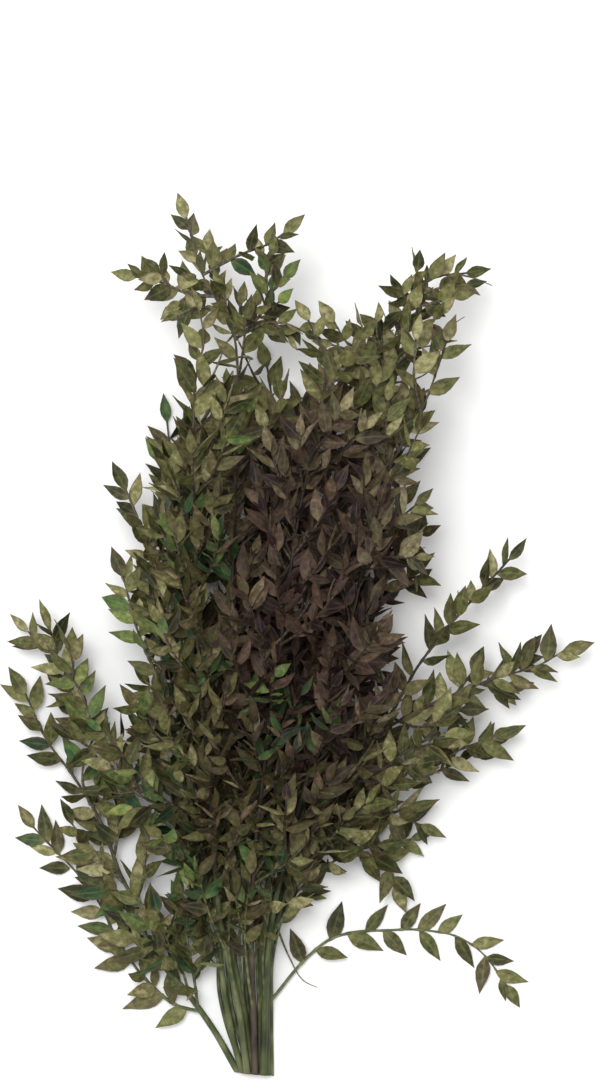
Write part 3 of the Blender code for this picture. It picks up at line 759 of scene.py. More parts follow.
def how_clear(point):
    """0 for a leaf inside the dense middle, up to 1 for one that stands clear of it."""
    left, right = (from_table(BODY_OUTLINE, point.y, column) for column in (1, 2))
    beside = smooth_step(max(left - point.x, point.x - right), EDGE_INSIDE, EDGE_OUTSIDE)
    return max(beside, smooth_step(point.y, *TOP_CLEAR))


def habit_at(point, low_habit):
    """Leaves are smaller on the sprays at the top."""
    return ON_TOP if point.y > TOP_SPRAY else low_habit


def add_by_hand(name, axis_name, bare, route, root_radius):
    """A branch of a stem along a route whose first point is put on the nearest branch."""
    points = [Vector(point) for point in route]
    parent = min(
        [stems[name], *(axis for _, axis in branches[name])],
        key=lambda axis: (axis.nearest(points[0]) - points[0]).length,
    )
    points[0] = parent.nearest(points[0])
    axis = Axis(axis_name, points, root_radius, BRANCH_TIP_RADIUS, BRANCH_SIDES)
    branches[name].append((bare, axis))
    crowd.add_axis(axis)
    leaves[name] += leaves_along(axis, bare, habit_at(points[-1], ON_LOW), LOW_LEAF_SPACING)


for name in STEMS:
    for number, (bare, route) in enumerate(SHOOTS.get(name, [])):
        add_by_hand(name, f"{name}_shoot_{number}", bare, route, SHOOT_RADIUS)
    for number, (bare, route) in enumerate(LOW_BRANCHES.get(name, [])):
        add_by_hand(name, f"{name}_low_{number}", bare, route, BRANCH_RADIUS)
bare_twigs = {name: [] for name in STEMS}
for name, routes in BARE_TWIGS.items():
    for number, route in enumerate(routes):
        points = [Vector(point) for point in route]
        points[0] = stems[name].nearest(points[0])
        twig = Axis(
            f"{name}_bare_{number}", points, BARE_TWIG_RADIUS, BARE_TWIG_TIP_RADIUS, BRANCH_SIDES
        )
        bare_twigs[name].append(twig)
        crowd.add_axis(twig)
print("branches:", sum(len(grown) for grown in branches.values()))
print("leaves with the low branches:", sum(len(ways) for ways in leaves.values()))

# %% [markdown]
# ## Finer growth between the branches
#
# The solids carry as many leaves as their triangles allow. A real bunch is far fuller, and only
# small specks of light get through it. More of the same growth fills it: short twigs in the
# room that is left, and then leaves between the leaves, each one tried before it stays. Some
# places are open in the photograph, and nothing more grows there.

# %% Short twigs
# Distance from the cut ends, then how far to the left and right the finer twigs of the middle go
FINE_OUTLINE = (
    (100, -30, 20), (125, -44, 34), (160, -62, 62), (200, -80, 88), (240, -82, 92),
    (290, -62, 90), (323, -72, 84), (344, -78, 106), (382, -66, 108), (396, -72, 82),
    (404, -76, 74), (431, -56, 92), (458, -26, 104), (520, -26, 104), (600, -60, 120),
)
# Left, right, near and far edge of the places that stay open
CLEARINGS = (
    (-9, 32, 464, 500), (-34, -9, 470, 502), (94, 130, 392, 422), (60, 100, 514, 560),
    (-110, -52, 434, 500), (-92, -70, 140, 182), (-70, -52, 118, 142), (-134, -112, 160, 222),
    (128, 180, 200, 214), (14, 60, 60, 108), (86, 116, 546, 575), (-112, -86, 284, 330),
    (96, 117, 269, 322), (117, 132, 256, 284), (19, 39, 511, 540), (94, 122, 455, 494),
    (62, 76, 462, 500), (98, 130, 395, 424),
)
TWIG_LENGTH = 50.0
TWIG_STEP = 14.0
TWIG_TRIES = 12
TWIG_BARE = 7.0
TWIG_CLEARANCE = 0.5
# Twigs on sprays: the bare length at the root and at the tip, the step, and the twigs' length
SPRAY_TWIGS = {
    "stem_left_low": (72, 40, 20, 26), "stem_left_low_outer_1": (16, 8, 18, 22),
    "stem_left_low_outer_2": (22, 8, 18, 22), "stem_left_low_outer_3": (8, 10, 22, 18),
    "stem_left_low_outer_4": (8, 10, 22, 18), "stem_left_middle_outer_0": (20, 14, 18, 21),
    "stem_left_middle_outer_2": (12, 8, 16, 20),
    "stem_left_tall": (506, 26, 11, 20), "stem_left_tall_outer_0": (8, 8, 16, 13),
    "stem_left_tall_outer_1": (8, 8, 12, 17),
    "stem_left_tall_low_1": (8, 8, 14, 14), "stem_right_tall": (478, 26, 15, 22),
    "stem_right_tall_outer_0": (10, 6, 14, 16), "stem_front_right": (450, 30, 18, 20),
    "stem_right_middle": (190, 150, 13, 26), "stem_right_middle_outer_0": (14, 20, 18, 20),
    "stem_right_middle_outer_1": (10, 12, 18, 20), "stem_right_low": (110, 24, 16, 22),
    "stem_right_low_outer_1": (12, 6, 16, 18), "stem_right_low_outer_2": (10, 6, 16, 16),
    "stem_right_low_outer_4": (10, 8, 18, 16),
}
# Distance from the cut ends, then how far to the left and right those twigs reach
SPRAY_OUTLINE = (
    (60, -50, 60), (100, -96, 60), (130, -120, 70), (160, -132, 100), (180, -134, 114),
    (205, -124, 124), (222, -126, 148), (245, -138, 160), (290, -146, 190), (320, -146, 150),
    (350, -94, 160), (380, -94, 164), (430, -60, 112), (500, -80, 114), (530, -82, 132),
    (560, -62, 132), (585, -54, 0),
)
SPRAY_TURNS = (0, 180, 25, 205, -25, 155, 50, 230, -50, 130)
SPRAY_CLEARANCE = 0.3
SPRAY_BARE = 5.0
SPRAY_LEAF_SPACING = 8.0
LOWEST_TWIG = 2.0


def is_open(point):
    return any(x0 < point.x < x1 and y0 < point.y < y1 for x0, x1, y0, y1 in CLEARINGS)


def inside_fine_body(point):
    left, right = (from_table(FINE_OUTLINE, point.y, column) for column in (1, 2))
    return left < point.x < right and inside_body(point) and not is_open(point)


def inside_sprays(point):
    left, right = (from_table(SPRAY_OUTLINE, point.y, column) for column in (1, 2))
    return left < point.x < right and point.z > LOWEST_TWIG and not is_open(point)


def add_twig(name, twig, bare, habit, spacing):
    branches[name].append((bare, twig))
    crowd.add_axis(twig)
    leaves[name] += leaves_along(twig, bare, habit, spacing)


ON_TWIG = (60.0, (1.0, 0.84, 1.06, 0.92), 0.85, 0.2)
for name, stem in stems.items():
    first, last, _ = DENSE_BRANCHES[name]
    start, end = first * stem.length, last * stem.length
    for k in range(int((end - start) / TWIG_STEP)):
        twig = roomiest_branch(
            f"{name}_twig_{k}", stem, start + (k + 0.5) * TWIG_STEP, TWIG_LENGTH,
            all_round(TWIG_TRIES), TWIG_CLEARANCE, inside_fine_body,
        )
        if twig:
            add_twig(name, twig, TWIG_BARE, ON_TWIG, LEAF_SPACING)
print("branches with the short twigs:", sum(len(grown) for grown in branches.values()))

for name, stem in stems.items():
    for axis in [stem, *(axis for _, axis in branches[name])]:
        if axis.name not in SPRAY_TWIGS:
            continue
        root_part, tip_part, step, length = SPRAY_TWIGS[axis.name]
        for k in range(int((axis.length - root_part - tip_part) / step)):
            distance = root_part + (k + 0.5) * step
            twig = roomiest_branch(
                f"{axis.name}_spray_{k}", axis, distance, length, SPRAY_TURNS, SPRAY_CLEARANCE,
                inside_sprays,
            )
            if twig:
                habit = habit_at(axis.place(distance)[0], ON_LOW)
                add_twig(name, twig, SPRAY_BARE, habit, SPRAY_LEAF_SPACING)
print("branches with those on the sprays:", sum(len(grown) for grown in branches.values()))
print("leaves:", sum(len(ways) for ways in leaves.values()))

# %% Leaves between leaves
FINE_SPACING = 5.4
OUTER_FINE_SPACING = 8.6
FINE_TRIES = 6
FINE_CLEARANCE = 0.0
BARE_SHARE, BARE_LENGTH = 0.6, 6.0
TIP_SHARE = 0.99
IN_BODY = (75.0, (0.96, 0.8, 1.02, 0.88, 0.7), 0.75, 0.25)
# Leaves at the back lie flatter, between the others and the floor
IN_BACK = (30.0, (1.04, 0.9, 1.1), 0.95, 0.15)
BACK_HEIGHT = 32.0
STANDS_CLEAR = 0.85
ON_SPRAY = (34.0, (1.0, 0.86, 1.08, 0.78, 0.94), 0.95, 0.2)


def fine_leaves_along(axis, first, last, spacing):
    """Leaves wherever there is room between two distances on an axis."""
    grown = []
    count = int((last - first) / spacing)
    for number in range(count):
        distance = first + (last - first) * (number + 0.5) / count
        spot = axis.place(distance)[0]
        clear = how_clear(spot)
        if is_open(spot) or (clear > STANDS_CLEAR and spacing == FINE_SPACING and number % 2):
            continue
        chance = random.Random(f"{axis.name}_fine_leaf_{number}")
        inside = IN_BODY if spot.z > BACK_HEIGHT else IN_BACK
        habit = habit_at(spot, ON_SPRAY if clear > 0.5 else inside)
        way = grow_leaf(
            axis, distance, number, False, habit, chance, FINE_TRIES, FINE_CLEARANCE
        )
        if way:
            grown.append(way)
    return grown


for name, stem in stems.items():
    leafy_start = DENSE_BRANCHES[name][0] * stem.length
    leaves[name] += fine_leaves_along(stem, leafy_start, TIP_SHARE * stem.length, FINE_SPACING)
    for bare, axis in branches[name]:
        outside = "_outer_" in axis.name or "_low_" in axis.name.removeprefix(name)
        spacing = OUTER_FINE_SPACING if outside else FINE_SPACING
        first = max(bare * BARE_SHARE, bare - BARE_LENGTH)
        leaves[name] += fine_leaves_along(axis, first, TIP_SHARE * axis.length, spacing)
print("leaves in all:", sum(len(ways) for ways in leaves.values()))

# %% [markdown]
# ## One blade
#
# A flat card would show no rib, and no thickness from the side. A sculpted blade would be too
# heavy to repeat two thousand times. This one starts as a small grid: each row is narrowed and
# moved to its place along the blade, the columns are lifted into a fold, and a Solidify modifier
# weighted by a vertex group makes it thick at the midrib and sharp at the margin.

# %% Helpers for modelling by hand
def select_only(obj):
    bpy.ops.object.select_all(action="DESELECT")
    obj.select_set(True)
    bpy.context.view_layer.objects.active = obj


def pick_points(obj, wanted):
    """In edit mode, select the points whose coordinates pass a test, and no others."""
    bpy.ops.mesh.select_all(action="DESELECT")
    shape = bmesh.from_edit_mesh(obj.data)
    for point in shape.verts:
        point.select_set(wanted(point.co))
    shape.select_flush_mode()
    bmesh.update_edit_mesh(obj.data)


def apply_modifier(obj, modifier):
    select_only(obj)
    bpy.ops.object.modifier_apply(modifier=modifier.name)


# %% Model the blade
# Share of the length, and the width there as a share of the widest
BLADE_ROWS = (
    (0.0, 0.13), (0.11, 0.54), (0.25, 0.91), (0.42, 1.0), (0.62, 0.79), (0.82, 0.37), (1.0, 0.0),
)
BLADE_COLUMNS = 4
BLADE_THICKNESS = 0.5 * MM
# Columns of the grid from the midrib to the margin: weight of the thickness, and lift of the fold
BLADE_FOLDS = ((0.0, 1.0, 0.0), (0.25, 0.6, 0.16 * MM), (0.5, 0.0, 0.5 * MM))
# The grid starts clear of the blade's own place, so that no finished row is picked again
GRID_PLACE = -1.0
NEAR_ENOUGH = 0.01
SAME_SPOT = 0.00001
SHARP_ANGLE = math.radians(50)


def model_blade():
    """The master blade at its real size, its root at the origin and its tip along +Y."""
    bpy.ops.object.select_all(action="DESELECT")
    rows = len(BLADE_ROWS) - 1
    bpy.ops.mesh.primitive_grid_add(
        x_subdivisions=BLADE_COLUMNS, y_subdivisions=rows, size=1.0, location=(0, GRID_PLACE, 0)
    )
    bpy.ops.object.transform_apply(location=True)
    blade = bpy.context.object
    blade.name = "blade_master"
    group = blade.vertex_groups.new(name="thickness")
    bpy.ops.object.mode_set(mode="EDIT")
    for column, weight, lift in BLADE_FOLDS:
        pick_points(blade, lambda co: abs(abs(co.x) - column) < NEAR_ENOUGH)
        bpy.context.scene.tool_settings.vertex_group_weight = weight
        bpy.ops.object.vertex_group_assign()
        bpy.ops.transform.translate(value=(0, 0, lift))
    for row, (share, width) in enumerate(BLADE_ROWS):
        level = GRID_PLACE - 0.5 + row / rows
        pick_points(blade, lambda co: abs(co.y - level) < NEAR_ENOUGH)
        bpy.ops.transform.resize(
            value=(width * LEAF_WIDTH * MM, 1, width), center_override=(0, level, 0)
        )
        bpy.ops.transform.translate(value=(0, share * LEAF_LENGTH * MM - level, 0))
    bpy.ops.mesh.select_all(action="SELECT")
    bpy.ops.mesh.remove_doubles(threshold=SAME_SPOT)
    bpy.ops.object.mode_set(mode="OBJECT")
    thicken = blade.modifiers.new("thickness", "SOLIDIFY")
    thicken.thickness = BLADE_THICKNESS
    thicken.offset = 0.0
    thicken.vertex_group = group.name
    thicken.thickness_vertex_group = 0.0
    apply_modifier(blade, thicken)
    bpy.ops.object.mode_set(mode="EDIT")
    bpy.ops.mesh.select_all(action="SELECT")
    bpy.ops.mesh.remove_doubles(threshold=SAME_SPOT)
    bpy.ops.mesh.normals_make_consistent(inside=False)
    bpy.ops.object.mode_set(mode="OBJECT")
    bpy.ops.object.shade_smooth_by_angle(angle=SHARP_ANGLE)
    blade.vertex_groups.clear()
    return blade


blade = model_blade()
shape = bmesh.new()
shape.from_mesh(blade.data)
open_edges = sum(len(edge.link_faces) != 2 for edge in shape.edges)
print(
    "blade:", len(shape.verts), "points,", len(shape.faces), "faces,", open_edges, "open edges,",
    f"volume {shape.calc_volume(signed=True) / MM**3:.1f} mm3",
    "size", [round(side / MM, 2) for side in blade.dimensions],
)
shape.free()

# %% [markdown]
# ## Two thousand different leaves
#
# A particle system would scatter the blade in a moment, but an export drops it and every leaf
# would be the same. Each leaf is a copy of the master with a mesh of its own. Its points are bent
# by the leaf's own curl, fold, twist and wave, and it carries four values for the colours: how
# far the painted shade spares it, how brown and how green it dried, and its own chance.

# %% Painted shade, and how each leaf dried
# Middle, half width and half length, in plan, of the heart that dried purple-brown
HEART_MIDDLE, HEART_HALF = (42.0, 330.0), (62.0, 120.0)
HEART_EDGE = (0.75, 1.4)
VALUE_SPREAD = 0.22
# Centres, half widths and half lengths, in plan, of the places where the painted shade is darkest
DEEPEST_SHADE_PLACES = ((-8, 290, 13, 52), (30, 300, 34, 64), (66, 300, 24, 50), (-20, 214, 18, 36))
# At most this share of a leaf inside the middle is spared the painted shade
MOST_UNSHADED_INSIDE = 0.42
# Centres and radii, in plan, of the places where leaves stayed green, and how many did
GREEN_PLACES = (
    (-57, 366, 11, 0.8), (-28, 352, 15, 0.8), (-26, 321, 13, 0.6), (-77, 298, 18, 0.7),
    (-47, 288, 12, 0.5), (-26, 279, 12, 0.6), (12, 258, 15, 0.8), (30, 244, 20, 0.4),
    (5, 224, 13, 0.5), (-51, 218, 16, 0.5), (-79, 257, 14, 0.5), (-73, 192, 17, 0.7),
    (-64, 168, 13, 0.6), (-53, 143, 17, 0.85), (2, 141, 20, 0.6), (-74, 114, 18, 0.4),
    (-51, 90, 18, 0.5), (7, 540, 24, 0.5), (-40, 391, 14, 0.6), (-64, 445, 12, 0.5),
    (-10, 431, 14, 0.5), (-120, 240, 60, 0.25), (-112, 130, 40, 0.15),
)
# A green leaf is spared at least this much of the painted shade
LEAST_UNSHADED_GREEN = 0.55


def strayed(value, chance):
    """A value moved a little by chance, and kept between 0 and 1."""
    return min(1.0, max(0.0, value + chance.gauss(0, VALUE_SPREAD)))


def how_unshaded(point):
    """How far painted shade spares a leaf: like how_clear, but darkest in only a few places."""
    darkest = max(
        math.exp(-(((point.x - x) / across) ** 2) - ((point.y - y) / along) ** 2)
        for x, y, across, along in DEEPEST_SHADE_PLACES
    )
    inside = MOST_UNSHADED_INSIDE * (1.0 - darkest)
    return inside + (1.0 - inside) * how_clear(point)


def how_brown(point):
    """1 in the heart of the bunch, down to 0 where leaves dried olive."""
    away = math.hypot(
        (point.x - HEART_MIDDLE[0]) / HEART_HALF[0], (point.y - HEART_MIDDLE[1]) / HEART_HALF[1]
    )
    return 1.0 - smooth_step(away, *HEART_EDGE)


def how_green(point, chance):
    """0 for a leaf that dried brown or olive, up to 1 for one that stayed green."""
    for x, y, radius, share in GREEN_PLACES:
        away = math.hypot(point.x - x, point.y - y) / radius
        if chance.random() < share * math.exp(-away * away):
            return chance.uniform(0.45, 1.0)
    return 0.0


# %% Bend and place the leaves
FOLDS = (0.0, 0.45)
TWISTS = (-30.0, 30.0)
SICKLES = (-0.07, 0.07)
WAVES = (0.0, 0.6)
WAVES_ALONG = 1.4
# Width of the blades, as a share of the width that they were tried with
SLIMNESS = (0.74, 0.98)
# Blades that stand clear of the middle are longer and broader, and those at the top shorter
LONGER_OUTSIDE, BROADER_OUTSIDE = 0.05, 0.22
SHORTER_AT_TOP = 0.14
TOP_SHRINKS = (465.0, 510.0)
COLOUR_VALUES = ("light", "brown", "green", "chance")


def leaf_points(blade_points, way, chance):
    """The master's points, in millimetres, bent for one leaf and put in their place."""
    root, along, normal, length, width, curl, pressed = way
    clear = how_clear(root)
    at_top = smooth_step(root.y, *TOP_SHRINKS)
    length *= (1 + LONGER_OUTSIDE * clear) * (1 - SHORTER_AT_TOP * at_top)
    width *= 1 + BROADER_OUTSIDE * clear
    across = along.cross(normal)
    share = blade_points[:, 1] / LEAF_LENGTH
    side = blade_points[:, 0] * (width / LEAF_WIDTH) * chance.uniform(*SLIMNESS)
    wave = np.sin(math.tau * (WAVES_ALONG * share + chance.random()))
    height = blade_points[:, 2] + chance.uniform(*FOLDS) * abs(side)
    height += chance.uniform(*WAVES) * wave * abs(side) / (width / 2)
    twist = math.radians(chance.uniform(*TWISTS)) * share
    turned = side * np.cos(twist) - height * np.sin(twist)
    height = side * np.sin(twist) + height * np.cos(twist)
    side = turned + chance.uniform(*SICKLES) * length * share**2
    height += curl * length * share**2
    if pressed:
        height += PRESSED_LIFT - height.min()
    place = (share * length)[:, None] * np.array(along) + side[:, None] * np.array(across)
    points = np.array(root) + place + height[:, None] * np.array(normal)
    points[:, 2] += max(0.0, -points[:, 2].min())
    return points


def in_world(points):
    """Plan millimetres as metres about the origin of the solids."""
    return (points - np.array([*PLAN_MIDDLE, 0.0])) * MM


def make_foliage(name, ways):
    """All leaves of one stem as one piece."""
    copies = []
    for number, way in enumerate(ways):
        chance = random.Random(f"{name}_blade_{number}")
        leaf = blade.copy()
        leaf.data = blade.data.copy()
        points = in_world(leaf_points(blade_points, way, chance))
        leaf.data.vertices.foreach_set("co", points.ravel())
        middle = way[0] + way[1] * (way[3] / 2)
        # How far the painted shade spares the leaf, from its place in the bunch
        light, brown = strayed(how_unshaded(middle), chance), strayed(how_brown(middle), chance)
        green = how_green(middle, chance)
        values = (max(light, LEAST_UNSHADED_GREEN) if green else light, brown, green, chance.random())
        for value_name, value in zip(COLOUR_VALUES, values):
            leaf.data.attributes[value_name].data.foreach_set("value", [value] * len(blade_points))
        bpy.context.scene.collection.objects.link(leaf)
        copies.append(leaf)
    bpy.ops.object.select_all(action="DESELECT")
    for leaf in copies:
        leaf.select_set(True)
    bpy.context.view_layer.objects.active = copies[0]
    bpy.ops.object.join()
    foliage = bpy.context.object
    foliage.name = f"leaves_{name.removeprefix('stem_')}"
    foliage.data.name = foliage.name
    return foliage


for value_name in COLOUR_VALUES:
    blade.data.attributes.new(value_name, "FLOAT", "POINT")
blade_points = np.empty(len(blade.data.vertices) * 3, np.float32)
blade.data.vertices.foreach_get("co", blade_points)
blade_points = blade_points.reshape(-1, 3).astype(float) / MM
foliage = {name: make_foliage(name, ways) for name, ways in leaves.items()}
bpy.data.objects.remove(blade)
print("faces of the foliage:", sum(len(piece.data.polygons) for piece in foliage.values()))

# %% [markdown]
# ## Bark
#
# A stem could be a cylinder bent along a path. A curve with a bevel does it in one step: it keeps
# a radius at each point, so the stem tapers and swells a little at each knot where a leaf leaves.
# Turned into a mesh, its two ends are welded shut. The main stems and the thin twigs are two
# meshes at first, because their sides are counted differently.

# %% Tubes with knots
TUBE_STEP = 2.6
KNOT_RISE = 0.3
KNOT_LENGTH = 1.5
# What is left of the solids' radius at the root and at the tip of a stem, and of a twig
STEM_SLIMNESS = (1.0, 0.6)
TWIG_SLIMNESS = (0.86, 0.5)
STEM_BEVEL, TWIG_BEVEL = 3, 1
CUT_ALLOWANCE = 3.0


def knot_swelling(distance, knots):
    nearest = min((abs(distance - knot) for knot in knots), default=math.inf)
    return KNOT_RISE * math.exp(-((nearest / KNOT_LENGTH) ** 2))


def make_tubes(name, axes, slimness, bevel, cut):
    """Closed tubes round some axes as one mesh object. `cut` leaves length to cut off at the root."""
    curve = bpy.data.curves.new(name, "CURVE")
    curve.dimensions = "3D"
    curve.bevel_depth = MM
    curve.bevel_resolution = bevel
    curve.use_fill_caps = True
    for axis in axes:
        points = curve_through(axis.points, TUBE_STEP)
        distance, radii = 0.0, []
        for before, point in zip([points[0], *points], points):
            distance += (point - before).length
            share = min(1.0, distance / axis.length)
            slim = slimness[0] + (slimness[1] - slimness[0]) * share
            radius = axis.radii[0] + (axis.radii[-1] - axis.radii[0]) * share
            radii.append(radius * slim + knot_swelling(distance, axis.knots))
        if cut:
            points.insert(0, points[0] - ALONG_BUNCH * CUT_ALLOWANCE)
            radii.insert(0, radii[0])
        spline = curve.splines.new("POLY")
        spline.points.add(len(points) - 1)
        for spot, point, radius in zip(spline.points, points, radii):
            height = max(point.z, radius)
            spot.co = (*in_world(np.array([point.x, point.y, height])), 1.0)
            spot.radius = radius
    tubes = bpy.data.objects.new(name, curve)
    bpy.context.scene.collection.objects.link(tubes)
    select_only(tubes)
    bpy.ops.object.convert(target="MESH")
    bpy.ops.object.mode_set(mode="EDIT")
    bpy.ops.mesh.select_all(action="SELECT")
    bpy.ops.mesh.remove_doubles(threshold=SAME_SPOT)
    bpy.ops.mesh.normals_make_consistent(inside=False)
    bpy.ops.object.mode_set(mode="OBJECT")
    bpy.ops.object.shade_smooth_by_angle(angle=SHARP_ANGLE)
    mesh = bpy.context.object.data
    tones = mesh.attributes.new("own_tone", "FLOAT", "POINT")
    tones.data.foreach_set("value", [random.Random(name).random()] * len(mesh.vertices))
    return bpy.context.object


# %% [markdown]
# ## The cut through the stems
#
# The stems were cut together with one stroke, a little aslant. Trimming each tube's end by hand
# would lose that. A bisect cuts all of them on one plane and fills the wounds, and an inset
# in each wound gives the paler pith inside its ring of wood.

# %% Cut the stems
CUT_RIGHT_END = 12.5
CUT_SLOPE = 0.09
PITH_INSET = 0.9
PITH_DEPTH = 0.25
BARK, WOOD, PITH = 0, 1, 2


def cut_stem(tubes, slots):
    """Cuts the stem's root on the plane that all stems share. `slots` get the wood and the pith."""
    spot = Vector(in_world(np.array([CUT_RIGHT_END, 0.0, 0.0])))
    facing = Vector((CUT_SLOPE, 1.0, 0.0)).normalized()
    select_only(tubes)
    for material in slots:
        tubes.data.materials.append(material)
    bpy.ops.object.mode_set(mode="EDIT")
    bpy.ops.mesh.select_all(action="SELECT")
    bpy.ops.mesh.bisect(plane_co=spot, plane_no=facing, use_fill=True, clear_inner=True)
    bpy.ops.mesh.select_mode(type="FACE")
    shape = bmesh.from_edit_mesh(tubes.data)
    for face in shape.faces:
        on_cut = abs((face.calc_center_median() - spot).dot(facing)) < SAME_SPOT
        face.select_set(on_cut and face.normal.dot(facing) < -0.9)
    bmesh.update_edit_mesh(tubes.data)
    tubes.active_material_index = WOOD
    bpy.ops.object.material_slot_assign()
    bpy.ops.mesh.inset(thickness=PITH_INSET * MM, depth=-PITH_DEPTH * MM)
    tubes.active_material_index = PITH
    bpy.ops.object.material_slot_assign()
    bpy.ops.mesh.select_mode(type="VERT")
    bpy.ops.object.mode_set(mode="OBJECT")

# %% [markdown]
# ## A small language for finishes
#
# A finish could be put together with the mouse in the shader editor. Written as code it needs
# three helpers: one adds a node and wires it, one mixes two colours, and one turns a value into a
# colour through stops. Patterns read Object coordinates, the blade's own UV map, or the four
# values that each leaf carries, so that they stay on the surface from every side.

# %% Nodes
MIX_FACTOR, MIX_A, MIX_B, MIX_RESULT = 0, 6, 7, 2


def node(tree, kind, inputs=None, **settings):
    """Adds a shader node. An input is a value, or another node's output that is wired to it."""
    made = tree.nodes.new(kind)
    for setting, value in settings.items():
        setattr(made, setting, value)
    for socket, value in (inputs or {}).items():
        if isinstance(value, bpy.types.NodeSocket):
            tree.links.new(value, made.inputs[socket])
        else:
            made.inputs[socket].default_value = value
    return made


def mixed(tree, share, first, second, blend="MIX"):
    """`first` where the share is 0, and `second` where it is 1."""
    inputs = {MIX_FACTOR: share, MIX_A: first, MIX_B: second}
    return node(tree, "ShaderNodeMix", inputs, data_type="RGBA", blend_type=blend).outputs[MIX_RESULT]


def maths(tree, operation, first, second=0.0):
    return node(tree, "ShaderNodeMath", {0: first, 1: second}, operation=operation).outputs[0]


def rising(tree, value, low, high):
    """0 below `low`, 1 above `high`, and a smooth rise between."""
    inputs = {"Value": value, "From Min": low, "From Max": high}
    made = node(tree, "ShaderNodeMapRange", inputs, interpolation_type="SMOOTHSTEP")
    return made.outputs["Result"]


def ramp(tree, value, stops):
    """A colour through stops of (place, colour)."""
    made = node(tree, "ShaderNodeValToRGB", {"Fac": value})
    stop_list = made.color_ramp.elements
    for place, _ in stops[2:]:
        stop_list.new(place)
    for stop, (place, colour) in zip(stop_list, stops):
        stop.position = place
        stop.color = (*colour, 1.0)
    return made.outputs["Color"]


def specks(tree, vector, scale, detail=2.0, roughness=0.55):
    inputs = {"Vector": vector, "Scale": scale, "Detail": detail, "Roughness": roughness}
    return node(tree, "ShaderNodeTexNoise", inputs).outputs["Fac"]


def new_finish(name):
    """A material, its tree and its Principled shader."""
    material = bpy.data.materials.new(name)
    material.use_nodes = True
    return material, material.node_tree, material.node_tree.nodes["Principled BSDF"]


def roughen(tree, shader, height, strength, distance):
    inputs = {"Height": height, "Strength": strength, "Distance": distance}
    tree.links.new(node(tree, "ShaderNodeBump", inputs).outputs["Normal"], shader.inputs["Normal"])


# %% [markdown]
# ## Dried leaves
#
# Leaves that dried in the light at the outside of the bunch are a dusty olive. Inside, they went
# brown to a dull purple-brown, and a few stayed green. One painted colour can't say all that. The
# finish mixes three ramps by the values that a leaf carries, mottles them, pales the midrib,
# browns the margin and the tip where they dried first, darkens the middle with painted shade, and
# lays long fine veins in the bump.

# %% Leaf finish
BROWN_STOPS = (
    (0.0, (0.018, 0.009, 0.014)), (0.35, (0.056, 0.034, 0.027)), (0.7, (0.116, 0.082, 0.052)),
    (1.0, (0.240, 0.190, 0.120)),
)
OLIVE_STOPS = (
    (0.0, (0.022, 0.028, 0.007)), (0.35, (0.080, 0.088, 0.025)), (0.7, (0.182, 0.182, 0.066)),
    (1.0, (0.400, 0.370, 0.190)),
)
GREEN_STOPS = (
    (0.0, (0.012, 0.046, 0.024)), (0.35, (0.036, 0.092, 0.028)), (0.7, (0.110, 0.168, 0.036)),
    (1.0, (0.250, 0.290, 0.080)),
)
# What is left of the colours inside the middle under the painted shade between the leaves
PAINTED_SHADE_INSIDE = (0.48, 0.38, 0.42)
PAINTED_SHADE_ON_GREEN = (0.34, 0.58, 0.66)
DRY_MARGIN = (0.110, 0.070, 0.038)
PALE_BASE = (0.300, 0.270, 0.110)
PALE_RIB = (0.280, 0.260, 0.130)
MOTTLE_SCALE, PATCH_SCALE, GRAIN_SCALE = 260.0, 75.0, 1800.0
VEINS = 9.0
LEAF_ROUGHNESS = (0.5, 0.7)


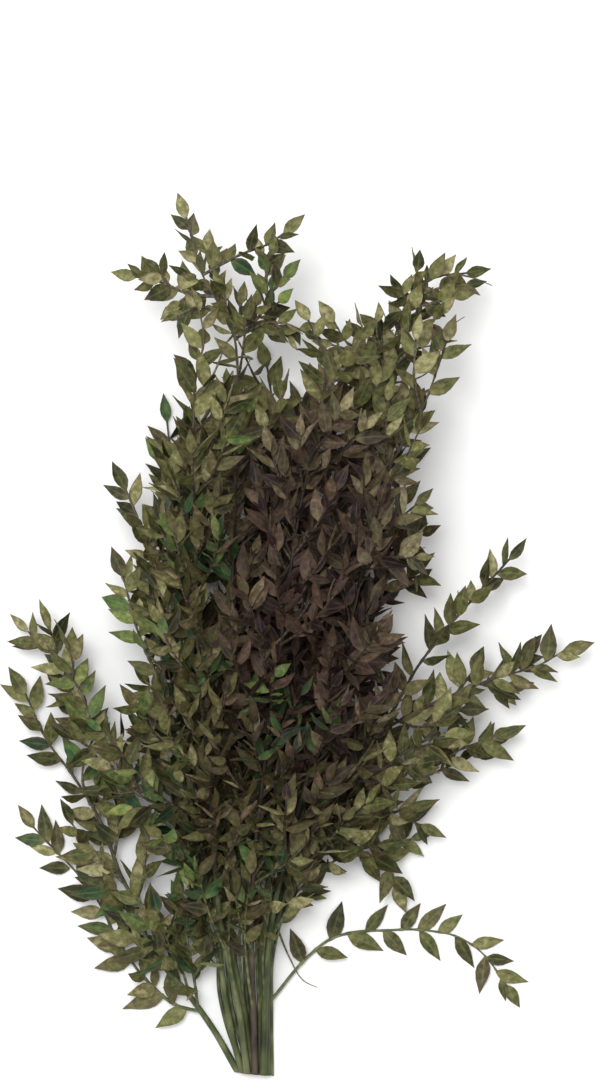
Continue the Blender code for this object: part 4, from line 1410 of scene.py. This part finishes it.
def leaf_finish():
    material, tree, shader = new_finish("dried_leaf")
    place = node(tree, "ShaderNodeTexCoord").outputs["Object"]
    blade_map = node(tree, "ShaderNodeUVMap", uv_map="UVMap").outputs["UV"]
    across_along = node(tree, "ShaderNodeSeparateXYZ", {"Vector": blade_map})
    along = across_along.outputs["Y"]
    light, brown, green, chance = (
        node(tree, "ShaderNodeAttribute", attribute_name=value_name).outputs["Fac"]
        for value_name in COLOUR_VALUES
    )
    from_middle = maths(tree, "SUBTRACT", across_along.outputs["X"], 0.5)
    from_rib = maths(tree, "MULTIPLY", maths(tree, "ABSOLUTE", from_middle), 2.0)
    mottle = specks(tree, place, MOTTLE_SCALE, 3.0)
    patch = specks(tree, place, PATCH_SCALE)
    own_tone = maths(tree, "MULTIPLY", chance, 0.9)
    tone = maths(tree, "ADD", own_tone, maths(tree, "MULTIPLY", mottle, 1.3))
    tone = maths(tree, "SUBTRACT", tone, 0.68)
    colour = mixed(tree, brown, ramp(tree, tone, OLIVE_STOPS), ramp(tree, tone, BROWN_STOPS))
    colour = mixed(tree, green, colour, ramp(tree, tone, GREEN_STOPS))
    margin = rising(tree, from_rib, 0.55, 1.0)
    tip = rising(tree, along, 0.6, 1.0)
    edges = maths(tree, "MAXIMUM", margin, tip)
    dried = maths(tree, "MULTIPLY", edges, rising(tree, patch, 0.38, 0.62))
    colour = mixed(tree, maths(tree, "MULTIPLY", dried, 0.75), colour, (*DRY_MARGIN, 1.0))
    base = maths(tree, "SUBTRACT", 1.0, rising(tree, along, 0.0, 0.45))
    base = maths(tree, "MULTIPLY", base, rising(tree, patch, 0.62, 0.42))
    colour = mixed(tree, maths(tree, "MULTIPLY", base, 0.4), colour, (*PALE_BASE, 1.0))
    rib = maths(tree, "SUBTRACT", 1.0, rising(tree, from_rib, 0.03, 0.16))
    colour = mixed(tree, maths(tree, "MULTIPLY", rib, 0.2), colour, (*PALE_RIB, 1.0))
    # Painted shade: leaves inside the middle are darkened, green ones with a tint of their own
    inside = maths(tree, "SUBTRACT", 1.0, light)
    shade = mixed(tree, green, (*PAINTED_SHADE_INSIDE, 1.0), (*PAINTED_SHADE_ON_GREEN, 1.0))
    colour = mixed(tree, inside, colour, shade, "MULTIPLY")
    tree.links.new(colour, shader.inputs["Base Color"])
    rough = node(tree, "ShaderNodeMapRange", {
        "Value": mottle, "To Min": LEAF_ROUGHNESS[0], "To Max": LEAF_ROUGHNESS[1],
    })
    tree.links.new(rough.outputs["Result"], shader.inputs["Roughness"])
    shader.inputs["Specular IOR Level"].default_value = 0.22
    veins = maths(tree, "SINE", maths(tree, "MULTIPLY", from_rib, VEINS * math.tau / 2))
    height = maths(tree, "MULTIPLY", veins, 0.25)
    height = maths(tree, "ADD", height, maths(tree, "MULTIPLY", rib, 0.8))
    height = maths(tree, "ADD", height, specks(tree, place, GRAIN_SCALE, 3.0))
    roughen(tree, shader, height, 0.55, 0.18 * MM)
    return material


# %% [markdown]
# ## Dried bark, wood and pith
#
# Fine ribs run along the stem. Modelled ribs would need dozens of sides. A wave across the tube's
# UV map draws them as colour and as bump, and follows every bend. The bark is grey-green at the
# cut and turns brown among the leaves, so its colour also reads the place along the bunch. In the
# middle of the bunch, painted shade darkens it to a dark purple-brown.

# %% Bark, wood and pith finishes
BARK_GREEN = (
    (0.0, (0.018, 0.023, 0.009)), (0.5, (0.062, 0.076, 0.025)), (1.0, (0.160, 0.170, 0.080)),
)
BARK_BROWN = (
    (0.0, (0.020, 0.014, 0.010)), (0.5, (0.066, 0.050, 0.032)), (1.0, (0.170, 0.140, 0.088)),
)
BARK_TURNS = (-0.200, -0.120)
# In metres: how far from the middle line, and how far along, the bark's painted shade fades out
HEART_SIDE, HEART_TOP = (0.050, 0.105), (0.110, 0.200)
# Painted shade on the bark in the middle of the bunch
PAINTED_SHADE_ON_BARK = (0.42, 0.36, 0.38)
RIBS = 13.0
CUT_WOOD = ((0.0, (0.200, 0.150, 0.080)), (1.0, (0.420, 0.340, 0.210)))
PITH_COLOURS = ((0.0, (0.430, 0.360, 0.240)), (1.0, (0.640, 0.560, 0.420)))


def bark_finish(name, low_stops):
    """Bark with given lower colours, turning brown among the leaves, with painted shade in the middle."""
    material, tree, shader = new_finish(name)
    coordinates = node(tree, "ShaderNodeTexCoord")
    place = coordinates.outputs["Object"]
    round_stem = node(tree, "ShaderNodeSeparateXYZ", {"Vector": coordinates.outputs["UV"]})
    stretched = node(tree, "ShaderNodeMapping", {"Vector": place, "Scale": (1.0, 0.14, 1.0)})
    streaks = specks(tree, stretched.outputs["Vector"], 420.0, 3.0)
    blotches = specks(tree, place, 60.0)
    ribs = maths(tree, "SINE", maths(tree, "MULTIPLY", round_stem.outputs["X"], RIBS * math.tau))
    own_tone = node(tree, "ShaderNodeAttribute", attribute_name="own_tone").outputs["Fac"]
    streaks = maths(tree, "ADD", streaks, maths(tree, "MULTIPLY", own_tone, 0.4))
    tone = maths(tree, "ADD", streaks, maths(tree, "MULTIPLY", ribs, 0.16))
    tone = maths(tree, "SUBTRACT", tone, 0.2)
    tone = maths(tree, "ADD", tone, maths(tree, "MULTIPLY", maths(tree, "SUBTRACT", blotches, 0.5), 0.8))
    spot = node(tree, "ShaderNodeSeparateXYZ", {"Vector": place})
    turned = rising(tree, spot.outputs["Y"], *BARK_TURNS)
    colour = mixed(tree, turned, ramp(tree, tone, low_stops), ramp(tree, tone, BARK_BROWN))
    # Painted shade: the bark in the middle of the bunch is darkened
    beside = rising(tree, maths(tree, "ABSOLUTE", spot.outputs["X"]), *HEART_SIDE)
    outside = maths(tree, "MAXIMUM", beside, rising(tree, spot.outputs["Y"], *HEART_TOP))
    painted_shade_share = maths(tree, "MULTIPLY", turned, maths(tree, "SUBTRACT", 1.0, outside))
    colour = mixed(tree, painted_shade_share, colour, (*PAINTED_SHADE_ON_BARK, 1.0), "MULTIPLY")
    tree.links.new(colour, shader.inputs["Base Color"])
    shader.inputs["Roughness"].default_value = 0.62
    shader.inputs["Specular IOR Level"].default_value = 0.35
    roughen(tree, shader, maths(tree, "ADD", ribs, streaks), 0.6, 0.15 * MM)
    return material


def cut_finish(name, stops, scale):
    material, tree, shader = new_finish(name)
    place = node(tree, "ShaderNodeTexCoord").outputs["Object"]
    grain = specks(tree, place, scale, 3.0)
    tree.links.new(ramp(tree, grain, stops), shader.inputs["Base Color"])
    shader.inputs["Roughness"].default_value = 0.85
    roughen(tree, shader, grain, 0.5, 0.2 * MM)
    return material


leaf_material = leaf_finish()
green_bark = bark_finish("green_bark", BARK_GREEN)
brown_bark = bark_finish("brown_bark", BARK_BROWN)
cut_wood = cut_finish("cut_wood", CUT_WOOD, 1500.0)
pith = cut_finish("pith", PITH_COLOURS, 2600.0)

# %% [markdown]
# ## Putting each stem together
#
# Leaves and bark stay two pieces for each stem, because they take their finish from two slots of
# the record. Both ride on the one body of the bunch, and the stem's solid is then hidden.

# %% Pieces of each stem
BROWN_BARKED = ("stem_back_left", "stem_back_middle", "stem_front_middle")
OLIVE_STEMS = ("stem_left_low", "stem_right_low", "stem_right_middle", "stem_left_tall")


def make_bark(name, stem, twigs):
    """The ribbed main stem and its thin twigs, joined in one piece."""
    main = make_tubes(f"bark_{name.removeprefix('stem_')}", [stem], STEM_SLIMNESS, STEM_BEVEL, True)
    main.data.materials.clear()
    main.data.materials.append(brown_bark if name in BROWN_BARKED else green_bark)
    cut_stem(main, (cut_wood, pith))
    thin = make_tubes(f"{main.name}_twigs", twigs, TWIG_SLIMNESS, TWIG_BEVEL, False)
    thin.data.materials.clear()
    thin.data.materials.append(green_bark)
    select_only(main)
    thin.select_set(True)
    bpy.ops.object.join()
    return main


for name, stem in stems.items():
    bark = make_bark(name, stem, [axis for _, axis in branches[name]] + bare_twigs[name])
    foliage[name].data.materials.clear()
    foliage[name].data.materials.append(leaf_material)
    for piece, slot in (
        (bark, "bark"),
        (foliage[name], "olive_foliage" if name in OLIVE_STEMS else "brown_foliage"),
    ):
        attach(piece, "root")
        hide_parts(name)
    print(name, len(bark.data.polygons), "faces of bark,", len(foliage[name].data.polygons), "of leaves")

# %% [markdown]
# ## Floor, light and camera
#
# The bunch lies on a plain pale floor. Light from all round would flatten it, and one hard lamp
# would cut it up. A pale sky and one large soft lamp to one side show the form of each leaf. The
# camera hangs straight above, so the tips point to the top of the picture, and its lens is
# worked out from the width of floor that the picture covers.

# %% Floor and light
FLOOR_SIDE = 60.0
FLOOR_DROP = 0.2 * MM
FLOOR_COLOUR = (0.92, 0.92, 0.92)
SKY = (1.0, 1.0, 1.0)
SKY_STRENGTH = 0.86
LAMP_PLACE = (-1.1, 1.4, 6.6)
LAMP_SIDE = 2.7
LAMP_POWER = 310.0

bpy.ops.object.select_all(action="DESELECT")
bpy.ops.mesh.primitive_plane_add(size=FLOOR_SIDE, location=(0, 0, -FLOOR_DROP))
floor = bpy.context.object
floor.name = "floor"
floor_material, floor_tree, floor_shader = new_finish("pale_floor")
floor_shader.inputs["Base Color"].default_value = (*FLOOR_COLOUR, 1.0)
floor_shader.inputs["Roughness"].default_value = 0.9
floor_shader.inputs["Specular IOR Level"].default_value = 0.1
floor.data.materials.append(floor_material)

world = bpy.data.worlds.new("studio")
world.use_nodes = True
world.node_tree.nodes["Background"].inputs["Color"].default_value = (*SKY, 1.0)
world.node_tree.nodes["Background"].inputs["Strength"].default_value = SKY_STRENGTH
bpy.context.scene.world = world

lamp_data = bpy.data.lights.new("soft_lamp", "AREA")
lamp_data.size = LAMP_SIDE
lamp_data.energy = LAMP_POWER
lamp = bpy.data.objects.new("soft_lamp", lamp_data)
lamp.location = LAMP_PLACE
lamp.rotation_euler = (-Vector(LAMP_PLACE)).to_track_quat("-Z", "Y").to_euler()
bpy.context.scene.collection.objects.link(lamp)

# %% Camera
CAMERA_HEIGHT = 6.0
# The spot of the floor plan that the camera hangs above, and the length that its picture covers
VIEW_MIDDLE = (30.4, 364.0)
VIEW_LENGTH = 0.7305
VIEW_LEVEL = 0.030
SENSOR = 36.0

camera_data = bpy.data.cameras.new("camera")
camera_data.sensor_width = SENSOR
camera_data.lens = SENSOR * (CAMERA_HEIGHT - VIEW_LEVEL) / VIEW_LENGTH
camera_data.clip_end = 20.0
camera = bpy.data.objects.new("camera", camera_data)
camera.location = in_world(np.array([*VIEW_MIDDLE, CAMERA_HEIGHT / MM]))
bpy.context.scene.collection.objects.link(camera)
bpy.context.scene.camera = camera
bpy.context.scene.view_settings.view_transform = "Standard"
